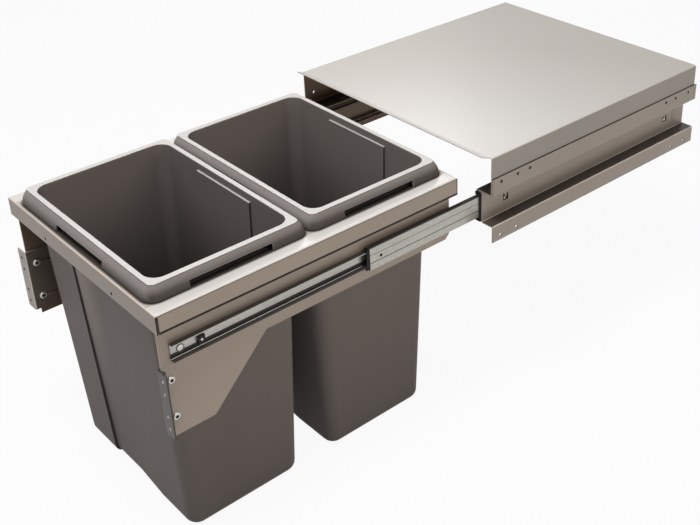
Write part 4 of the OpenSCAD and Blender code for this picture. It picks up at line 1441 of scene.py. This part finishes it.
class BINFRAME_OT_stage(bpy.types.Operator):
    """Floor, soft light and the camera"""

    bl_idname = "bin_frame.stage"
    bl_label = "Stage"

    CAMERA_PLACE = (1.11673, -0.92337, 1.07272)
    CAMERA_TURN = (48.447, 27.986, -1.189)
    CAMERA_LENS = 57.875
    CAMERA_SENSOR = 36.0
    CAMERA_SHIFT = (-0.0929, -0.1321)
    FLOOR_HALF = 14.0
    FLOOR_DROP = mm(0.4)
    LAMP_AIM = (0.0, -0.05, 0.25)
    LAMPS = (
        Lamp("top", (0.25, -0.6, 2.2), (0.8, 0.8), (1.0, 0.99, 0.98)),
        Lamp("key", (-1.05, -1.75, 1.9), (1.4, 1.4), (1.0, 0.925, 0.965)),
        Lamp("back", (-2.0, 1.4, 1.95), (1.1, 0.9), (1.0, 1.0, 1.0)),
        Lamp("side", (2.1, 0.45, 1.2), (0.9, 0.9), (1.0, 0.89, 0.75)),
    )

    def execute(self, context):
        scene, stage = context.scene, context.scene.bin_frame_stage
        self.world(scene, stage.world_light)
        self.floor(scene, stage.floor, stage.floor_white)
        for lamp in self.LAMPS:
            self.lamp(scene, lamp, getattr(stage, f"{lamp.name}_light"))
        self.camera(scene)
        scene.view_settings.view_transform = "Standard"
        return {"FINISHED"}

    def world(self, scene, strength):
        """Even light, and a plain white background for the eye and for reflections."""
        world = bpy.data.worlds.new("white_room")
        scene.world = world
        shop = Shop(world)
        seen = self.seen(shop)
        light = seen + (1 - seen) * strength
        glow = shop.node("ShaderNodeBackground", {}, {"Color": WHITE, "Strength": light})
        shop.node("ShaderNodeOutputWorld", {}, {"Surface": glow})

    @staticmethod
    def seen(shop):
        """Whether the eye sees this place, straight, in a reflection or through something clear."""

        def path(name):
            return shop.node("ShaderNodeLightPath", {}, {}, name)

        return path("Is Camera Ray").most(path("Is Glossy Ray")).most(path("Is Transmission Ray"))

    def floor(self, scene, rgb, whiteness):
        """A wide floor that takes soft shadows and otherwise looks like the background."""
        bm = bmesh.new()
        bmesh.ops.create_grid(bm, x_segments=1, y_segments=1, size=self.FLOOR_HALF)
        bmesh.ops.translate(bm, vec=(0, 0, -self.FLOOR_DROP), verts=bm.verts)
        mesh = bpy.data.meshes.new("floor")
        bm.to_mesh(mesh)
        bm.free()
        material, shop = new_material("pale_floor")
        matt = shop.node("ShaderNodeBsdfDiffuse", {}, {"Color": tint(rgb)})
        white = shop.node("ShaderNodeEmission", {}, {"Color": WHITE, "Strength": 1.0})
        mixed = shop.node("ShaderNodeMixShader", {}, [self.seen(shop) * whiteness, matt, white])
        shop.node("ShaderNodeOutputMaterial", {}, {"Surface": mixed})
        mesh.materials.append(material)
        floor = bpy.data.objects.new("floor", mesh)
        scene.collection.objects.link(floor)

    def lamp(self, scene, lamp, power):
        """A large soft lamp that faces the object's middle."""
        name = f"{lamp.name}_lamp"
        data = bpy.data.lights.new(name, "AREA")
        data.shape = "RECTANGLE"
        data.size, data.size_y = lamp.size
        data.energy = power
        data.color = lamp.colour
        made = bpy.data.objects.new(name, data)
        made.location = lamp.place
        aim = Vector(self.LAMP_AIM) - Vector(lamp.place)
        made.rotation_euler = aim.to_track_quat("-Z", "Y").to_euler()
        scene.collection.objects.link(made)

    def camera(self, scene):
        """The camera that was fitted to the photograph."""
        yaw, pitch, roll = (math.radians(a) for a in self.CAMERA_TURN)
        data = bpy.data.cameras.new("photo_camera")
        data.sensor_width = self.CAMERA_SENSOR
        data.lens = self.CAMERA_LENS
        data.shift_x, data.shift_y = self.CAMERA_SHIFT
        camera = bpy.data.objects.new("photo_camera", data)
        turn = Matrix.Rotation(yaw, 4, "Z") @ Matrix.Rotation(math.pi / 2 - pitch, 4, "X")
        camera.matrix_world = Matrix.Translation(self.CAMERA_PLACE) @ turn @ Matrix.Rotation(roll, 4, "Z")
        scene.collection.objects.link(camera)
        scene.camera = camera


class BINFRAME_PT_panel(bpy.types.Panel):
    """Lists the operators and their settings"""

    bl_idname = "BINFRAME_PT_panel"
    bl_label = "Bin frame"
    bl_space_type = "VIEW_3D"
    bl_region_type = "UI"
    bl_category = "Bin frame"

    def draw(self, context):
        for operator in OPERATORS:
            self.layout.operator(operator.bl_idname)
        for name, group in SETTINGS.items():
            for prop in group.__annotations__:
                self.layout.prop(getattr(context.scene, name), prop)


SETTINGS = {
    "bin_frame_sizes": BinFrameSizes,
    "bin_frame_finish": BinFrameFinish,
    "bin_frame_marks": BinFrameMarks,
    "bin_frame_stage": BinFrameStage,
}
OPERATORS = (
    BINFRAME_OT_sheets,
    BINFRAME_OT_slides,
    BINFRAME_OT_mouldings,
    BINFRAME_OT_fasteners,
    BINFRAME_OT_bins,
    BINFRAME_OT_stage,
)
CLASSES = (*SETTINGS.values(), *OPERATORS, BINFRAME_PT_panel)


def register():
    for cls in CLASSES:
        bpy.utils.register_class(cls)
    for name, group in SETTINGS.items():
        setattr(bpy.types.Scene, name, PointerProperty(type=group))


def unregister():
    for name in SETTINGS:
        delattr(bpy.types.Scene, name)
    for cls in reversed(CLASSES):
        bpy.utils.unregister_class(cls)


def main():
    register()
    bpy.ops.bin_frame.sheets()
    bpy.ops.bin_frame.slides()
    bpy.ops.bin_frame.mouldings()
    bpy.ops.bin_frame.fasteners()
    bpy.ops.bin_frame.bins()
    bpy.ops.bin_frame.stage()
    bpy.context.view_layer.update()


if __name__ == "__main__":
    main()
